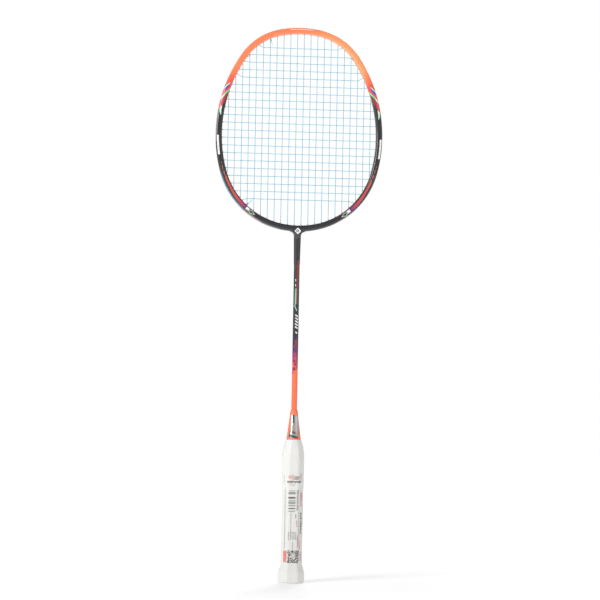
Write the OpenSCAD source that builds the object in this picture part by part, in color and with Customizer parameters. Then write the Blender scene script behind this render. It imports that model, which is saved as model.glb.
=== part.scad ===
// Badminton racket: hollow hoop with a string groove, one-piece stringing in moulded grommets,
// T-joint, tubular shaft, cone cap and an octagonal wooden handle with a wound grip.
// Millimetres. +Z runs along the racket from butt to crown, the string bed lies in the XZ plane,
// the front faces -Y and the origin is the centre of the butt end.

/* [Overall] */
// Length from the butt end to the crown of the head
overall_l = 675; // [665:1:680]
// Outer width of the head
head_w = 204.2; // [200:0.2:206]
// Outer length of the head
head_l = 249; // [246:1:252]
// Height of the head's widest level above its lowest outer point
widest_h = 117; // [115:1:119]

/* [Head outline] */
// Radius of the long arc down each side
side_r = 175; // [173:0.5:177]
// Angle of the side arc above the widest level, in degrees
side_up = 34; // [33:0.5:35]
// Angle of the side arc below the widest level, in degrees
side_down = 15; // [14:0.5:16]
// Half angle of the arc over the crown, in degrees
crown_half = 12; // [10:1:14]
// Half angle of the arc under the head, at the T-joint, in degrees
base_half = 12; // [10:1:14]

/* [Frame tube] */
// Width of the tube in the plane of the head
tube_w = 7.4; // [7.2:0.1:7.8]
// Depth of the tube from front to back
tube_d = 10.4; // [10:0.1:10.8]
// Radius of the tube's four long corners
tube_corner = 2.4; // [2.2:0.1:2.6]
// Wall thickness of the tube
tube_wall = 1.1; // [1:0.1:1.2]
// Width of the string groove around the outside
groove_w = 3.8; // [3.6:0.1:4]
// Depth of the string groove
groove_depth = 1.9; // [1.8:0.1:2]

/* [Strings] */
// Diameter of the string
string_d = 0.68; // [0.62:0.02:0.7]
// Number of main strings
mains = 22; // [20:2:22]
// Distance between neighbouring mains
main_pitch = 8.3; // [8.2:0.05:8.35]
// Number of cross strings
crosses = 21; // [19:2:21]
// Distance between neighbouring crosses
cross_pitch = 9.26; // [9.2:0.02:9.3]
// Height of the highest cross string
top_cross_z = 649.6; // [648.6:0.2:650.6]

/* [Grommets] */
// Diameter of a grommet's barrel
barrel_d = 2; // [1.9:0.05:2.1]
// Bore for one string
bore_d = 1.2; // [1.15:0.05:1.25]
// Barrel diameter where a tie-off shares the hole
tie_barrel_d = 2.4; // [2.3:0.05:2.5]
// Bore for two strings
tie_bore_d = 1.6; // [1.5:0.05:1.65]
// Diameter of the flange in the groove
flange_d = 3.4; // [3.2:0.1:3.5]
// Thickness of the flange
flange_t = 0.4; // [0.35:0.05:0.45]
// Length of barrel that stands out inside the hoop
nozzle = 0.8; // [0.6:0.1:1]
// Smallest distance between two holes along the inner face
hole_gap = 4.2; // [4:0.1:4.3]

/* [Shaft and T-joint] */
// Outer diameter of the shaft
shaft_d = 7; // [6.8:0.1:7.2]
// Inner diameter of the shaft
shaft_bore_d = 4.6; // [4.4:0.1:4.8]
// Level of the shaft's lower end, inside the handle
shaft_foot_z = 72; // [65:1:85]
// Length of the T-joint's stem below the head
stem_l = 42; // [36:1:48]
// Diameter of the stem just under the head
stem_d = 8.8; // [8.4:0.1:9.2]
// Radius of the fillets between stem and hoop
throat_fillet = 4.5; // [4:0.1:5]
// Half width of the saddle under the hoop
saddle_half = 13; // [12:0.5:14]
// Width and height of the diamond badge
badge = 8.4; // [7:0.1:8.6]

/* [Handle] */
// Width of the grip at its butt flare
butt_w = 31; // [30:0.1:32]
// Depth of the grip at its butt flare
butt_d = 28.2; // [27.5:0.1:29]
// Width of the grip just above the flare
waist_w = 25.8; // [25.2:0.1:26.2]
// Depth of the grip just above the flare
waist_d = 23.4; // [22.8:0.1:23.8]
// Width of the grip below its shoulder
top_w = 26.4; // [26:0.1:27]
// Depth of the grip below its shoulder
top_d = 24; // [23.4:0.1:24.4]
// Width of the handle under the cone
neck_w = 17.6; // [17:0.1:18.2]
// Each bevel's leg as a share of the half depth
bevel_share = 0.62; // [0.58:0.01:0.64]
// Level where the flare starts
flare_low = 11; // [9:1:12]
// Level where the flare has faded out
flare_top = 24; // [22:1:26]
// Level where the shoulder starts
shoulder_z = 151; // [149:1:153]
// Level of the top of the handle, where the cone starts
neck_z = 173; // [171:1:175]
// Thickness of the wound grip
grip_t = 1.7; // [1.5:0.1:1.9]

/* [Cone] */
// Level of the top of the cone
cone_top_z = 207.5; // [205:0.5:209]
// Diameter of the cone at its top
cone_top_d = 9; // [8.8:0.1:9.2]
// Height of the chamfer that closes the cone onto the shaft
cone_lip = 2; // [1.5:0.1:2.5]
// Wall thickness of the cone
cone_wall = 1.2; // [1:0.1:1.4]

/* [Hidden] */
$fn = 48;

eps = 0.01;
head_z = overall_l - head_l;                 // lowest outer point of the hoop
nozzle_off = tube_w + nozzle;                // offsets count inwards from the outer outline
run_off = groove_depth - flange_t - string_d / 2;
over_off = run_off - string_d - 0.04;        // a run that lies on top of other runs
bed_y = string_d / 2 + 0.02;                 // mains lie behind the XZ plane, crosses before it
hole_y = (bore_d - string_d) / 2 - 0.02;
tie_y = (tie_bore_d - string_d) / 2 - 0.02;
run_y = 0.82;
main_lead = 2.5;                             // string beside a nozzle that leads into the bed
cross_lead = 6;                              // more of it where a cross hole was moved

// ---- Head outline: tangent arcs on the right half, each [centre, radius, from, to] ----
// Centres are measured from the widest level. The side arc is given; the radii of the cap arc,
// at the crown or the base, and of the shoulder arc between them follow from width and height.
mid_z = head_z + widest_h;
function cap_and_shoulder(h, side, cap_half) =
    let (t = 90 - cap_half,
        bx = head_w / 2 - side_r * (1 - cos(side)), bz = h - side_r * sin(side),
        kx = cos(side) - cos(t), kz = sin(t) - sin(side), lift = 1 - sin(t),
        det = cos(t) * kz - lift * kx)
    [(bx * kz - bz * kx) / det, (cos(t) * bz - lift * bx) / det];
up_r = cap_and_shoulder(head_l - widest_h, side_up, crown_half);
low_r = cap_and_shoulder(widest_h, side_down, base_half);
crown_r = up_r[0];
base_r = low_r[0];
function heading(t) = [cos(t), sin(t)];
side_c = [head_w / 2 - side_r, 0];
up_shoulder_c = side_c + (side_r - up_r[1]) * heading(side_up);
low_shoulder_c = side_c + (side_r - low_r[1]) * heading(-side_down);
base_arc = [[0, base_r - widest_h], base_r, -90, base_half - 90];
crown_arc = [[0, head_l - widest_h - crown_r], crown_r, 90 - crown_half, 90];
side_arcs = [[low_shoulder_c, low_r[1], base_half - 90, -side_down],
    [side_c, side_r, -side_down, side_up],
    [up_shoulder_c, up_r[1], side_up, 90 - crown_half]];
arcs = concat([base_arc], side_arcs, [crown_arc]);

// The place u is the heading of the hoop's outward normal: 0 right, 90 crown, 180 left, 270 base.
function arc_at(t) = [for (a = arcs) if (t >= a[2] - eps && t <= a[3] + eps) a][0];
function half_at(t, off) = let (a = arc_at(t)) [0, mid_z] + a[0] + (a[1] - off) * heading(t);
function hoop_at(u, off) = u <= 90 ? half_at(u, off)
    : let (p = half_at(180 - u, off)) [-p[0], p[1]];
function hoop_point(u, off, y) = let (p = hoop_at(u, off)) [p[0], y, p[1]];

// ---- Where the strings meet the hoop ----
function main_x(m) = (m - (mains - 1) / 2) * main_pitch;
function cross_z(k) = top_cross_z - k * cross_pitch;
function at_x(x, up) = [for (a = arcs)
    let (c = (x - a[0][0]) / (a[1] - nozzle_off), t = up * acos(c))
    if (abs(c) <= 1 && t >= a[2] && t <= a[3]) t][0];
function at_z(z) = [for (a = arcs)
    let (s = (z - mid_z - a[0][1]) / (a[1] - nozzle_off), t = asin(s))
    if (abs(s) <= 1 && t >= a[2] && t <= a[3]) t][0];
main_places = [for (up = [1, -1], m = [mains / 2 : mains - 1]) at_x(main_x(m), up)];
// Moves a cross hole along the hoop until it is hole_gap clear of the mains' holes.
function cleared(t) =
    let (step = hole_gap / (arc_at(t)[1] - tube_w) * 180 / PI,
        near = [for (m = main_places) if (abs(t - m) < step) m])
    len(near) == 0 ? t : near[0] + (t < near[0] ? -step : step);
function mirrored(x, t) = x < 0 ? 180 - t : t;
function main_u(m, up) = mirrored(main_x(m), at_x(abs(main_x(m)), up));
function cross_u(k, side) = mirrored(side, cleared(at_z(cross_z(k))));
main_ends = [for (m = [0 : mains - 1], up = [1, -1]) main_u(m, up)];
cross_ends = [for (k = [0 : crosses - 1], side = [1, -1]) cross_u(k, side)];
tie_top = 6;                                 // main that the last cross is tied beside
tie_base = 3;                                // main that the first main is tied beside
tie_ends = [for (m = [tie_top, mains - 1 - tie_top]) main_u(m, 1),
    for (m = [tie_base, mains - 1 - tie_base]) main_u(m, -1)];
function is_tie(u) = len([for (t = tie_ends) if (abs(u - t) < eps) t]) > 0;
all_ends = concat(main_ends, cross_ends);
single_ends = [for (u = all_ends) if (!is_tie(u)) u];

// ---- Frame section, x outwards and y through the head ----
module rounded_rect(x0, x1, d, r) {
    translate([x0 + r, -d / 2]) square([x1 - x0 - 2 * r, d]);
    translate([x0, r - d / 2]) square([x1 - x0, d - 2 * r]);
    for (x = [x0 + r, x1 - r], y = [r - d / 2, d / 2 - r]) translate([x, y]) circle(r);
}
module tube_outline() { rounded_rect(-tube_w / 2, tube_w / 2, tube_d, tube_corner); }
module cavity(gap)
    rounded_rect(tube_wall + gap - tube_w / 2, tube_w / 2 - groove_depth - tube_wall - gap,
        tube_d - 2 * tube_wall - 2 * gap, tube_corner - tube_wall);
module tube_section() difference() {
    tube_outline();
    translate([tube_w / 2 - groove_depth, -groove_w / 2]) square([groove_depth + 1, groove_w]);
    cavity(0);
}

// Moves in two steps, thousandths first, so that the ends of neighbouring arcs meet exactly.
function thousandths(v) = [for (x = v) round(x * 1000) / 1000];
module shift(v) translate(thousandths(v)) translate(v - thousandths(v)) children();
// Sweeps a 2D section along one arc, between two headings.
module bend(a, from, to)
    translate([0, 0, mid_z]) shift([a[0][0], 0, a[0][1]]) rotate([90, 0, 0])
        rotate_extrude(angle = to - from, start = from, $fn = 144)
            shift([a[1] - tube_w / 2, 0]) children();
module hoop() {
    bend(base_arc, -90 - base_half, base_half - 90) children();
    bend(crown_arc, 90 - crown_half, 90 + crown_half) children();
    for (a = side_arcs, side = [0, 1]) mirror([side, 0, 0]) bend(a, a[2], a[3]) children();
}
// Places a child at the hole u, with its +Z along the outward normal and its foot at off.
module at_hole(u, off)
    translate(hoop_point(u, off, 0)) rotate([0, 90 - u, 0]) children();
module string_holes() {
    for (u = single_ends) at_hole(u, tube_w + 1) cylinder(d = barrel_d, h = tube_w + 2);
    for (u = tie_ends) at_hole(u, tube_w + 1) cylinder(d = tie_barrel_d, h = tube_w + 2);
}

module head_frame() color("#f07a4a") difference() {
    hoop() tube_section();
    string_holes();
    translate([0, 0, head_z]) cylinder(d = spigot_d, h = tube_w / 2);
}
module frame_core() color("#e8e4d8") difference() {
    hoop() cavity(0.03);
    string_holes();
    translate([0, 0, head_z]) cylinder(d = spigot_d, h = tube_w);
}

// ---- T-joint ----
spigot_d = 3.4;
insert_l = 34;
shaft_top_z = head_z - 1.5;
stem_foot_z = head_z - stem_l;
fillet_foot_z = head_z - throat_fillet - 1;
flare_r = stem_d / 2 + throat_fillet;
flare_h = head_z + tube_corner - fillet_foot_z;
module t_joint_insert() color("#9aa0a6") {
    translate([0, 0, shaft_top_z - insert_l]) cylinder(d = shaft_bore_d, h = insert_l);
    translate([0, 0, shaft_top_z])
        cylinder(d = spigot_d, h = head_z + tube_w - tube_wall - 0.1 - shaft_top_z);
}
// Flared end of the stem, turned about the shaft's axis.
module throat_flare() rotate_extrude() difference() {
    translate([0, fillet_foot_z]) square([flare_r, flare_h + 1]);
    translate([flare_r, fillet_foot_z]) circle(throat_fillet);
}
module saddle_pad() translate([0.6, 0]) rounded_rect(0, tube_w / 2 + 0.6, tube_d, tube_corner);
module throat_cover() color("#26262a") difference() {
    union() {
        translate([0, 0, stem_foot_z])
            cylinder(d1 = shaft_d + 0.4, d2 = stem_d, h = fillet_foot_z - stem_foot_z);
        intersection() {
            throat_flare();
            translate([-flare_r - 1, -tube_d / 2, fillet_foot_z])
                cube([2 * flare_r + 2, tube_d, flare_h]);
        }
        bend(base_arc, -90 - saddle_half / base_r * 180 / PI,
            saddle_half / base_r * 180 / PI - 90) saddle_pad();
    }
    bend(base_arc, -90 - base_half, base_half - 90) tube_outline();
    translate([0, 0, stem_foot_z - 1]) cylinder(d = shaft_d, h = shaft_top_z - stem_foot_z + 1);
    translate([0, 0, stem_foot_z]) cylinder(d = spigot_d, h = stem_l + tube_w);
}
badge_t = 0.15;
module throat_badge() color("white")
    translate([0, -tube_d / 2, head_z + 0.4]) rotate([90, 45, 0])
        linear_extrude(badge_t) square(badge / sqrt(2), center = true);

module shaft() color("#ff7f50") translate([0, 0, shaft_foot_z]) difference() {
    cylinder(d = shaft_d, h = shaft_top_z - shaft_foot_z);
    translate([0, 0, -1]) cylinder(d = shaft_bore_d, h = shaft_top_z - shaft_foot_z + 2);
}

// ---- Cone ----
module cone_outline(grow) polygon([[0, neck_z], [neck_w / 2 + grow, neck_z],
    [cone_top_d / 2 + grow, cone_top_z], [shaft_d / 2 + 0.2, cone_top_z + cone_lip],
    [0, cone_top_z + cone_lip]]);
module cone_cap() color("#ff8a5c") rotate_extrude() difference() {
    cone_outline(0);
    square([shaft_d / 2, overall_l]);
    translate([0, neck_z - 1]) polygon([[0, 0], [neck_w / 2 - cone_wall, 0],
        [neck_w / 2 - cone_wall, 1], [shaft_d / 2, cone_top_z - neck_z - 5], [0, cone_top_z - neck_z]]);
}
sticker_t = 0.12;
sticker_span = 106;
sticker_start = -140;
sticker_gap = 1.5;
sticker_l = 29;
module cone_sticker() color("#c8ccd0") rotate_extrude(angle = sticker_span, start = sticker_start)
    intersection() {
        difference() {
            cone_outline(sticker_t);
            cone_outline(0);
        }
        translate([0, neck_z + sticker_gap]) square([neck_w, sticker_l]);
    }

// ---- Handle: octagonal rings between butt and cone ----
function along(z, z0, z1) = min(1, max(0, (z - z0) / (z1 - z0)));
function handle_half(z, butt, waist, top) =
    z < flare_top ? waist + (butt - waist) * (1 + cos(180 * along(z, flare_low, flare_top))) / 2
    : z < shoulder_z ? waist + (top - waist) * along(z, flare_top, shoulder_z)
    : neck_w / 2 + (top - neck_w / 2) * sin(90 * (1 - along(z, shoulder_z, neck_z)));
function half_width(z) = handle_half(z, butt_w / 2, waist_w / 2, top_w / 2);
function half_depth(z) = handle_half(z, butt_d / 2, waist_d / 2, top_d / 2);
// Octagon around the grip's surface at level z, grown outwards by grow.
function oct_ring(z, grow) =
    let (a = half_width(z) + grow, b = half_depth(z) + grow,
        c = bevel_share * half_depth(z) + grow * (2 - sqrt(2)))
    [[a, c - b, z], [a, b - c, z], [a - c, b, z], [c - a, b, z],
    [-a, b - c, z], [-a, c - b, z], [c - a, -b, z], [a - c, -b, z]];
// The grip thins towards the cone, so the wood follows its surface at a falling distance.
function core_grow(z) = -grip_t * (1 - 0.8 * along(z, shoulder_z, neck_z));
plug_t = 1.4;
grip_foot_z = 0.4;
grip_top_z = 166;
tape_lap = 4;
tape_t = 0.15;
film_low = 14;
film_top = 158;
film_t = 0.15;
flare_levels = [for (i = [0 : 6]) flare_low + (flare_top - flare_low) * i / 6];
function shoulder_levels(top) =
    concat([for (z = [shoulder_z : 3 : top - 1]) z], [top]);
function reversed(v) = [for (i = [len(v) - 1 : -1 : 0]) v[i]];

// Closed solid through rings that have the same number of points; looped joins last to first.
module skin(rings, looped = false) {
    n = len(rings[0]);
    count = len(rings);
    last = looped ? count - 1 : count - 2;
    sides = [for (i = [0 : last], k = [0 : n - 1], half = [0, 1])
        let (j = (i + 1) % count, a = i * n + k, b = i * n + (k + 1) % n,
            c = j * n + (k + 1) % n, d = j * n + k)
        half == 0 ? [a, c, b] : [a, d, c]];
    caps = looped ? [] : [[for (k = [0 : n - 1]) k],
        [for (k = [n - 1 : -1 : 0]) (count - 1) * n + k]];
    polyhedron(points = [for (r = rings) each r], faces = concat(sides, caps), convexity = 8);
}
// Sleeve of wall thickness t that lies on the grip's surface.
module sleeve(levels, t)
    skin(concat([for (z = levels) oct_ring(z, t)], [for (z = reversed(levels)) oct_ring(z, 0)]),
        looped = true);

nose_d = 12;
nose_h = 11;
plug_bore_d = 12;
plug_bore_top = 55;
core_levels = concat([plug_t], flare_levels, shoulder_levels(neck_z));
module handle_core() color("#d9b98a") difference() {
    union() {
        skin([for (z = core_levels) oct_ring(z, core_grow(z))]);
        translate([0, 0, neck_z - 1]) cylinder(d = nose_d, h = nose_h + 1);
    }
    translate([0, 0, shaft_foot_z]) cylinder(d = shaft_d, h = overall_l);
    translate([0, 0, -1]) cylinder(d = plug_bore_d, h = plug_bore_top + 1);
    staple_wire();
}
plug_stem_h = 9;
plug_inset = 0.2;
module butt_plug() color("#f2f2f0") {
    linear_extrude(plug_t) polygon([for (p = oct_ring(0, -grip_t - plug_inset)) [p[0], p[1]]]);
    translate([0, 0, plug_t - eps]) cylinder(d = plug_bore_d, h = plug_stem_h);
}

// Wire staple that pins the start of the grip to the back of the wood.
wire_d = 0.8;
staple_w = 8;
staple_leg = 5;
staple_z = 7;
module staple_wire() translate([0, half_depth(staple_z) - grip_t - wire_d, staple_z]) {
    translate([-staple_w / 2, 0, 0]) rotate([0, 90, 0]) cylinder(d = wire_d, h = staple_w);
    for (x = [-staple_w / 2, staple_w / 2]) translate([x, 0, 0]) {
        sphere(d = wire_d);
        rotate([90, 0, 0]) cylinder(d = wire_d, h = staple_leg);
    }
}
module grip_staple() color("#b8bcc0") staple_wire();

grip_levels = concat([grip_foot_z], flare_levels, shoulder_levels(grip_top_z));
module grip_tape() color("#f4f3ee")
    skin(concat([for (z = grip_levels) oct_ring(z, 0)],
        [for (z = reversed(grip_levels)) oct_ring(z, core_grow(z))]), looped = true);
lap_levels = [grip_top_z - tape_lap, grip_top_z];
bare_levels = [grip_top_z + 0.02, grip_top_z + 3.5, neck_z];
module finish_tape() color("#fafaf8")
    skin(concat([for (z = concat(lap_levels, bare_levels)) oct_ring(z, tape_t)],
        [for (z = reversed(bare_levels)) oct_ring(z, core_grow(z))],
        [for (z = reversed(lap_levels)) oct_ring(z, 0)]), looped = true);
film_levels = concat([film_low], [for (z = flare_levels) if (z > film_low + 1) z],
    shoulder_levels(film_top));
module film_sleeve() color([0.9, 0.95, 1, 0.25]) sleeve(film_levels, film_t);

// ---- Strings ----
function unit(v) = v / norm(v);
// One point of a route, or three round the corner there.
function eased(route, i, r) =
    i == 0 || i == len(route) - 1 ? [route[i]]
    : let (p = route[i], to_a = route[i - 1] - p, to_b = route[i + 1] - p,
        turn = 180 - acos(max(-1, min(1, unit(to_a) * unit(to_b)))),
        cut = min(r * tan(turn / 2), 0.45 * norm(to_a), 0.45 * norm(to_b)),
        a = p + cut * unit(to_a), b = p + cut * unit(to_b))
    turn < 12 ? [p] : [a, (a + 2 * p + b) / 4, b];
function rounded(route, r) = [for (i = [0 : len(route) - 1]) each eased(route, i, r)];
string_sides = 6;
function ring_at(path, i) =
    let (ahead = i < len(path) - 1 ? unit(path[i + 1] - path[i]) : [0, 0, 0],
        behind = i > 0 ? unit(path[i] - path[i - 1]) : [0, 0, 0],
        t = unit(ahead + behind), e1 = unit(cross([0, 1, 0], t)), e2 = cross(t, e1))
    [for (k = [0 : string_sides - 1])
        path[i] + string_d / 2 * (cos(60 * k) * e1 + sin(60 * k) * e2)];
module string_along(route) {
    path = rounded(route, 0.9);
    skin([for (i = [0 : len(path) - 1]) ring_at(path, i)]);
}
// The bed stretch from nozzle a to nozzle b, through p and q, where it lies in its own plane.
function main_bed(m, u, v) =
    let (a = hoop_point(u, nozzle_off, hole_side(u)), b = hoop_point(v, nozzle_off, hole_side(v)),
        lead = b[2] > a[2] ? main_lead : -main_lead, x = main_x(m))
    [a, [x, bed_y, a[2] + lead], [x, bed_y, b[2] - lead], b];
function cross_bed(k, u, v) =
    let (a = hoop_point(u, nozzle_off, -hole_y), b = hoop_point(v, nozzle_off, -hole_y),
        lead = b[0] > a[0] ? cross_lead : -cross_lead, z = cross_z(k))
    [a, [a[0] + lead, -bed_y, z], [b[0] - lead, -bed_y, z], b];
// The groove stretch from hole u to hole v, at offset off, on the side y of the groove.
run_step = 9;
mean_r = 90;                                 // the hoop's rough radius, to count a run's steps
function groove_run(u, v, off, y, y_from, y_to) =
    let (steps = max(2, ceil(abs(v - u) * PI / 180 * mean_r / run_step)))
    concat([hoop_point(u, off, y_from)],
        [for (i = [1 : steps - 1]) hoop_point(u + (v - u) * i / steps, off, y)],
        [hoop_point(v, off, y_to)]);
function hole_side(u) = is_tie(u) ? tie_y : hole_y;
function main_route(m) =
    let (up = m % 2 == 0 ? 1 : -1, u = main_u(m, -up), v = main_u(m, up))
    concat(main_bed(m, u, v),
        m == mains - 1 ? [] : let (w = main_u(m + 1, up))
            groove_run(v, w, run_off, run_y, hole_side(v), hole_side(w)));
function cross_route(j) =
    let (k = crosses - 1 - j, side = j % 2 == 0 ? 1 : -1,
        u = cross_u(k, side), v = cross_u(k, -side))
    concat(cross_bed(k, u, v),
        j == crosses - 1 ? []
            : groove_run(v, cross_u(k - 1, -side), run_off, -run_y, -hole_y, -hole_y));

first_u = main_u(0, -1);                     // where the mains begin, lower left
last_u = main_u(mains - 1, -1);              // where they end, lower right
bridge_u = last_u - 8;                       // where the crosses take over in the groove
tail_l = 7;
// Inward end of a tied string: back through the hole, past the knot, and a short loose tail.
function tail(u, y, lean) =
    let (p = hoop_point(u, nozzle_off, y), q = hoop_point(u, nozzle_off + 1.6, y))
    [hoop_point(u, run_off, y), p, q, q + tail_l * unit([lean, sign(y) * 0.25, -sin(u)])];
main_tail = tail(main_u(tie_base, -1), -tie_y, 0.6);
cross_tail = tail(main_u(tie_top, 1), -tie_y, 0.4);
module knot(u, y) {
    translate(hoop_point(u, nozzle_off + 1.3, y / 2)) {
        sphere(d = 1.9, $fn = 24);
        rotate([0, 90 - u, 0]) rotate_extrude($fn = 24) translate([0.7, 0]) circle(d = 0.9, $fn = 16);
    }
}
module main_string() color("#6cc4e4") {
    string_along(concat(
        reversed(main_tail),
        groove_run(main_u(tie_base, -1), first_u, over_off, run_y, -tie_y, hole_y),
        [for (m = [0 : mains - 1]) each main_route(m)],
        [hoop_point(last_u, over_off, hole_y), hoop_point(last_u - 4, over_off, run_y),
            hoop_point(bridge_u, over_off, run_y)]));
    knot(main_u(tie_base, -1), -tie_y);
}
module cross_string() color("#6cc4e4") {
    first_cross_u = cross_u(crosses - 1, 1);
    string_along(concat(
        groove_run(bridge_u, first_cross_u, over_off, run_y, run_y, -hole_y),
        [for (j = [0 : crosses - 1]) each cross_route(j)],
        groove_run(cross_u(0, -1), main_u(tie_top, 1), run_off, -run_y, -hole_y, -tie_y),
        [for (i = [1 : 3]) cross_tail[i]]));
    knot(main_u(tie_top, 1), -tie_y);
}

// ---- Grommets ----
module grommet(u, barrel, bore) at_hole(u, nozzle_off) difference() {
    union() {
        cylinder(d = barrel, h = nozzle_off - groove_depth + flange_t / 2, $fn = 24);
        translate([0, 0, nozzle_off - groove_depth + 0.03])
            cylinder(d = flange_d, h = flange_t - 0.03, $fn = 24);
    }
    translate([0, 0, -1]) cylinder(d = bore, h = nozzle_off + 2, $fn = 24);
}
zone_half = 45;
module grommets_around(middle) color("#d8dad6")
    for (u = single_ends)
        if (abs((u - middle + 540) % 360 - 180) < zone_half) grommet(u, barrel_d, bore_d);
module crown_grommets() { grommets_around(90); }
module left_grommets() { grommets_around(180); }
module right_grommets() { grommets_around(0); }
module base_grommets() { grommets_around(270); }
module tie_off_grommets() color("#d8dad6")
    for (u = tie_ends) grommet(u, tie_barrel_d, tie_bore_d);

head_frame();
frame_core();
t_joint_insert();
throat_cover();
throat_badge();
shaft();
cone_cap();
cone_sticker();
handle_core();
butt_plug();
grip_staple();
grip_tape();
finish_tape();
film_sleeve();
main_string();
cross_string();
crown_grommets();
left_grommets();
right_grommets();
base_grommets();
tie_off_grommets();
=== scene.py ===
import math
import random

import bmesh
import bpy
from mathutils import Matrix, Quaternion, Vector
from mathutils.noise import noise


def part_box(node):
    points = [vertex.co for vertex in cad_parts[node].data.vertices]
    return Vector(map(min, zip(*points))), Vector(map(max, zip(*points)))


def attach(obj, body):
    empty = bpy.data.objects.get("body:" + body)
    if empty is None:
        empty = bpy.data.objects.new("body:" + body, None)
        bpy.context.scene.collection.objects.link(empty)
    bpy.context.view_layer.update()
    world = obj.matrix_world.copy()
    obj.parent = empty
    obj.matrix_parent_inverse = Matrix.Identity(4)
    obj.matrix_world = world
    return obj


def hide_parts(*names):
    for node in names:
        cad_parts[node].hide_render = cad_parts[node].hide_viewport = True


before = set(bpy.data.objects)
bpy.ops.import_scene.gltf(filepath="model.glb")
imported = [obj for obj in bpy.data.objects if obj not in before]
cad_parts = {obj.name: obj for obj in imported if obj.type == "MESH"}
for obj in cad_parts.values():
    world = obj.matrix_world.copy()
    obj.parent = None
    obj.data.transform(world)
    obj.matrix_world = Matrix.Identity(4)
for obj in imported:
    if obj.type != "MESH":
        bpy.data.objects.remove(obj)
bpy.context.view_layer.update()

MM = 0.001
BACK = Vector((0, 1, 0))


def box_mm(node):
    low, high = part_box(node)
    return low / MM, high / MM


def sin(t):
    return math.sin(math.radians(t))


def cos(t):
    return math.cos(math.radians(t))


def clamp(v, low=0.0, high=1.0):
    return max(low, min(high, v))


def ease(v, low, high):
    t = clamp((v - low) / (high - low))
    return t * t * (3 - 2 * t)


def spread(low, high, count):
    return [low + (high - low) * i / (count - 1) for i in range(count)]


def corner_arc(a, corner, b, count):
    """Points from a to b on a curve that is tangent to both sides of the corner."""
    return [a.lerp(corner, t).lerp(corner.lerp(b, t), t) for t in spread(0.0, 1.0, count)]


def circle(centre, r, a, b, count):
    """Points round the centre, from the direction a towards the direction b."""
    return [centre + r * (cos(t) * a + sin(t) * b) for t in (360 * k / count for k in range(count))]


def new_object(name, data):
    made = bpy.data.objects.new(name, data)
    bpy.context.scene.collection.objects.link(made)
    return made


# ---- Camera at the reference view: level, a little to the racket's left, rolled by its lean ----
CAMERA_LENS = 128.2
CAMERA_AWAY = 2600.0
CAMERA_AZIMUTH = -6.5
CAMERA_ELEVATION = -2.0
CAMERA_ROLL = 1.07
VIEW_CENTRE = Vector((4.7, 0.0, 342.6))


def add_camera():
    camera = new_object("camera", bpy.data.cameras.new("camera"))
    camera.data.lens = CAMERA_LENS
    camera.data.sensor_width = 36.0
    camera.data.clip_start = 0.05
    level = cos(CAMERA_ELEVATION)
    offset = Vector((sin(CAMERA_AZIMUTH) * level, -cos(CAMERA_AZIMUTH) * level,
                     sin(CAMERA_ELEVATION))) * CAMERA_AWAY
    camera.location = (VIEW_CENTRE + offset) * MM
    camera.rotation_mode = "QUATERNION"
    look = (-offset).to_track_quat("-Z", "Y")
    roll = Quaternion((0, 0, 1), math.radians(CAMERA_ROLL))
    camera.rotation_quaternion = look @ roll
    bpy.context.scene.camera = camera


add_camera()

# ---- Outline of the head: arcs on the right half, (centre x, centre z, radius, from, to) ----
hoop_low, hoop_high = box_mm("head_frame")
HEAD_Z = round(hoop_low.z, 1)
CROWN_Z = round(hoop_high.z, 1)
HEAD_HALF = round(hoop_high.x, 1)
TUBE_HALF_D = round(hoop_high.y, 1)
WIDEST_H = 117.0
SIDE_R = 175.0
SIDE_UP = 34.0
SIDE_DOWN = 15.0
CAP_HALF = 12.0
TUBE_W = 7.4
TUBE_CORNER = 2.4
GROOVE_HALF = 1.9
GROOVE_DEPTH = 1.9
TINY = 1e-6
MID_Z = HEAD_Z + WIDEST_H
BADGE_Z = HEAD_Z + 0.4


def cap_and_shoulder(height, side):
    """Radii of the cap arc and of the shoulder arc between it and the side arc."""
    t = 90 - CAP_HALF
    bx = HEAD_HALF - SIDE_R * (1 - cos(side))
    bz = height - SIDE_R * sin(side)
    kx = cos(side) - cos(t)
    kz = sin(t) - sin(side)
    lift = 1 - sin(t)
    det = cos(t) * kz - lift * kx
    return (bx * kz - bz * kx) / det, (cos(t) * bz - lift * bx) / det


def outline_arcs():
    crown_r, up_r = cap_and_shoulder(CROWN_Z - MID_Z, SIDE_UP)
    base_r, low_r = cap_and_shoulder(WIDEST_H, SIDE_DOWN)
    side_x = HEAD_HALF - SIDE_R
    low_shift = SIDE_R - low_r
    up_shift = SIDE_R - up_r
    return [
        (0.0, HEAD_Z + base_r, base_r, -90, CAP_HALF - 90),
        (side_x + low_shift * cos(SIDE_DOWN), MID_Z - low_shift * sin(SIDE_DOWN), low_r,
         CAP_HALF - 90, -SIDE_DOWN),
        (side_x, MID_Z, SIDE_R, -SIDE_DOWN, SIDE_UP),
        (side_x + up_shift * cos(SIDE_UP), MID_Z + up_shift * sin(SIDE_UP), up_r,
         SIDE_UP, 90 - CAP_HALF),
        (0.0, CROWN_Z - crown_r, crown_r, 90 - CAP_HALF, 90),
    ]


ARCS = outline_arcs()


def heading(u):
    return Vector((cos(u), 0, sin(u)))


def right_side(u):
    """The heading on the right half that mirrors the place u, and the side that u is on."""
    u = (u + 90) % 360 - 90
    return (u, 1) if u <= 90 else (180 - u, -1)


def covers(arc, t):
    return arc[3] - TINY <= t <= arc[4] + TINY


def arc_at(t):
    return next(arc for arc in ARCS if covers(arc, t))


def hoop_point(u, off, y):
    """Place whose outward normal has the heading u, off inwards from the outline, at depth y."""
    t, side = right_side(u)
    cx, cz, r, _, _ = arc_at(t)
    return Vector((side * (cx + (r - off) * cos(t)), y, cz + (r - off) * sin(t)))


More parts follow.
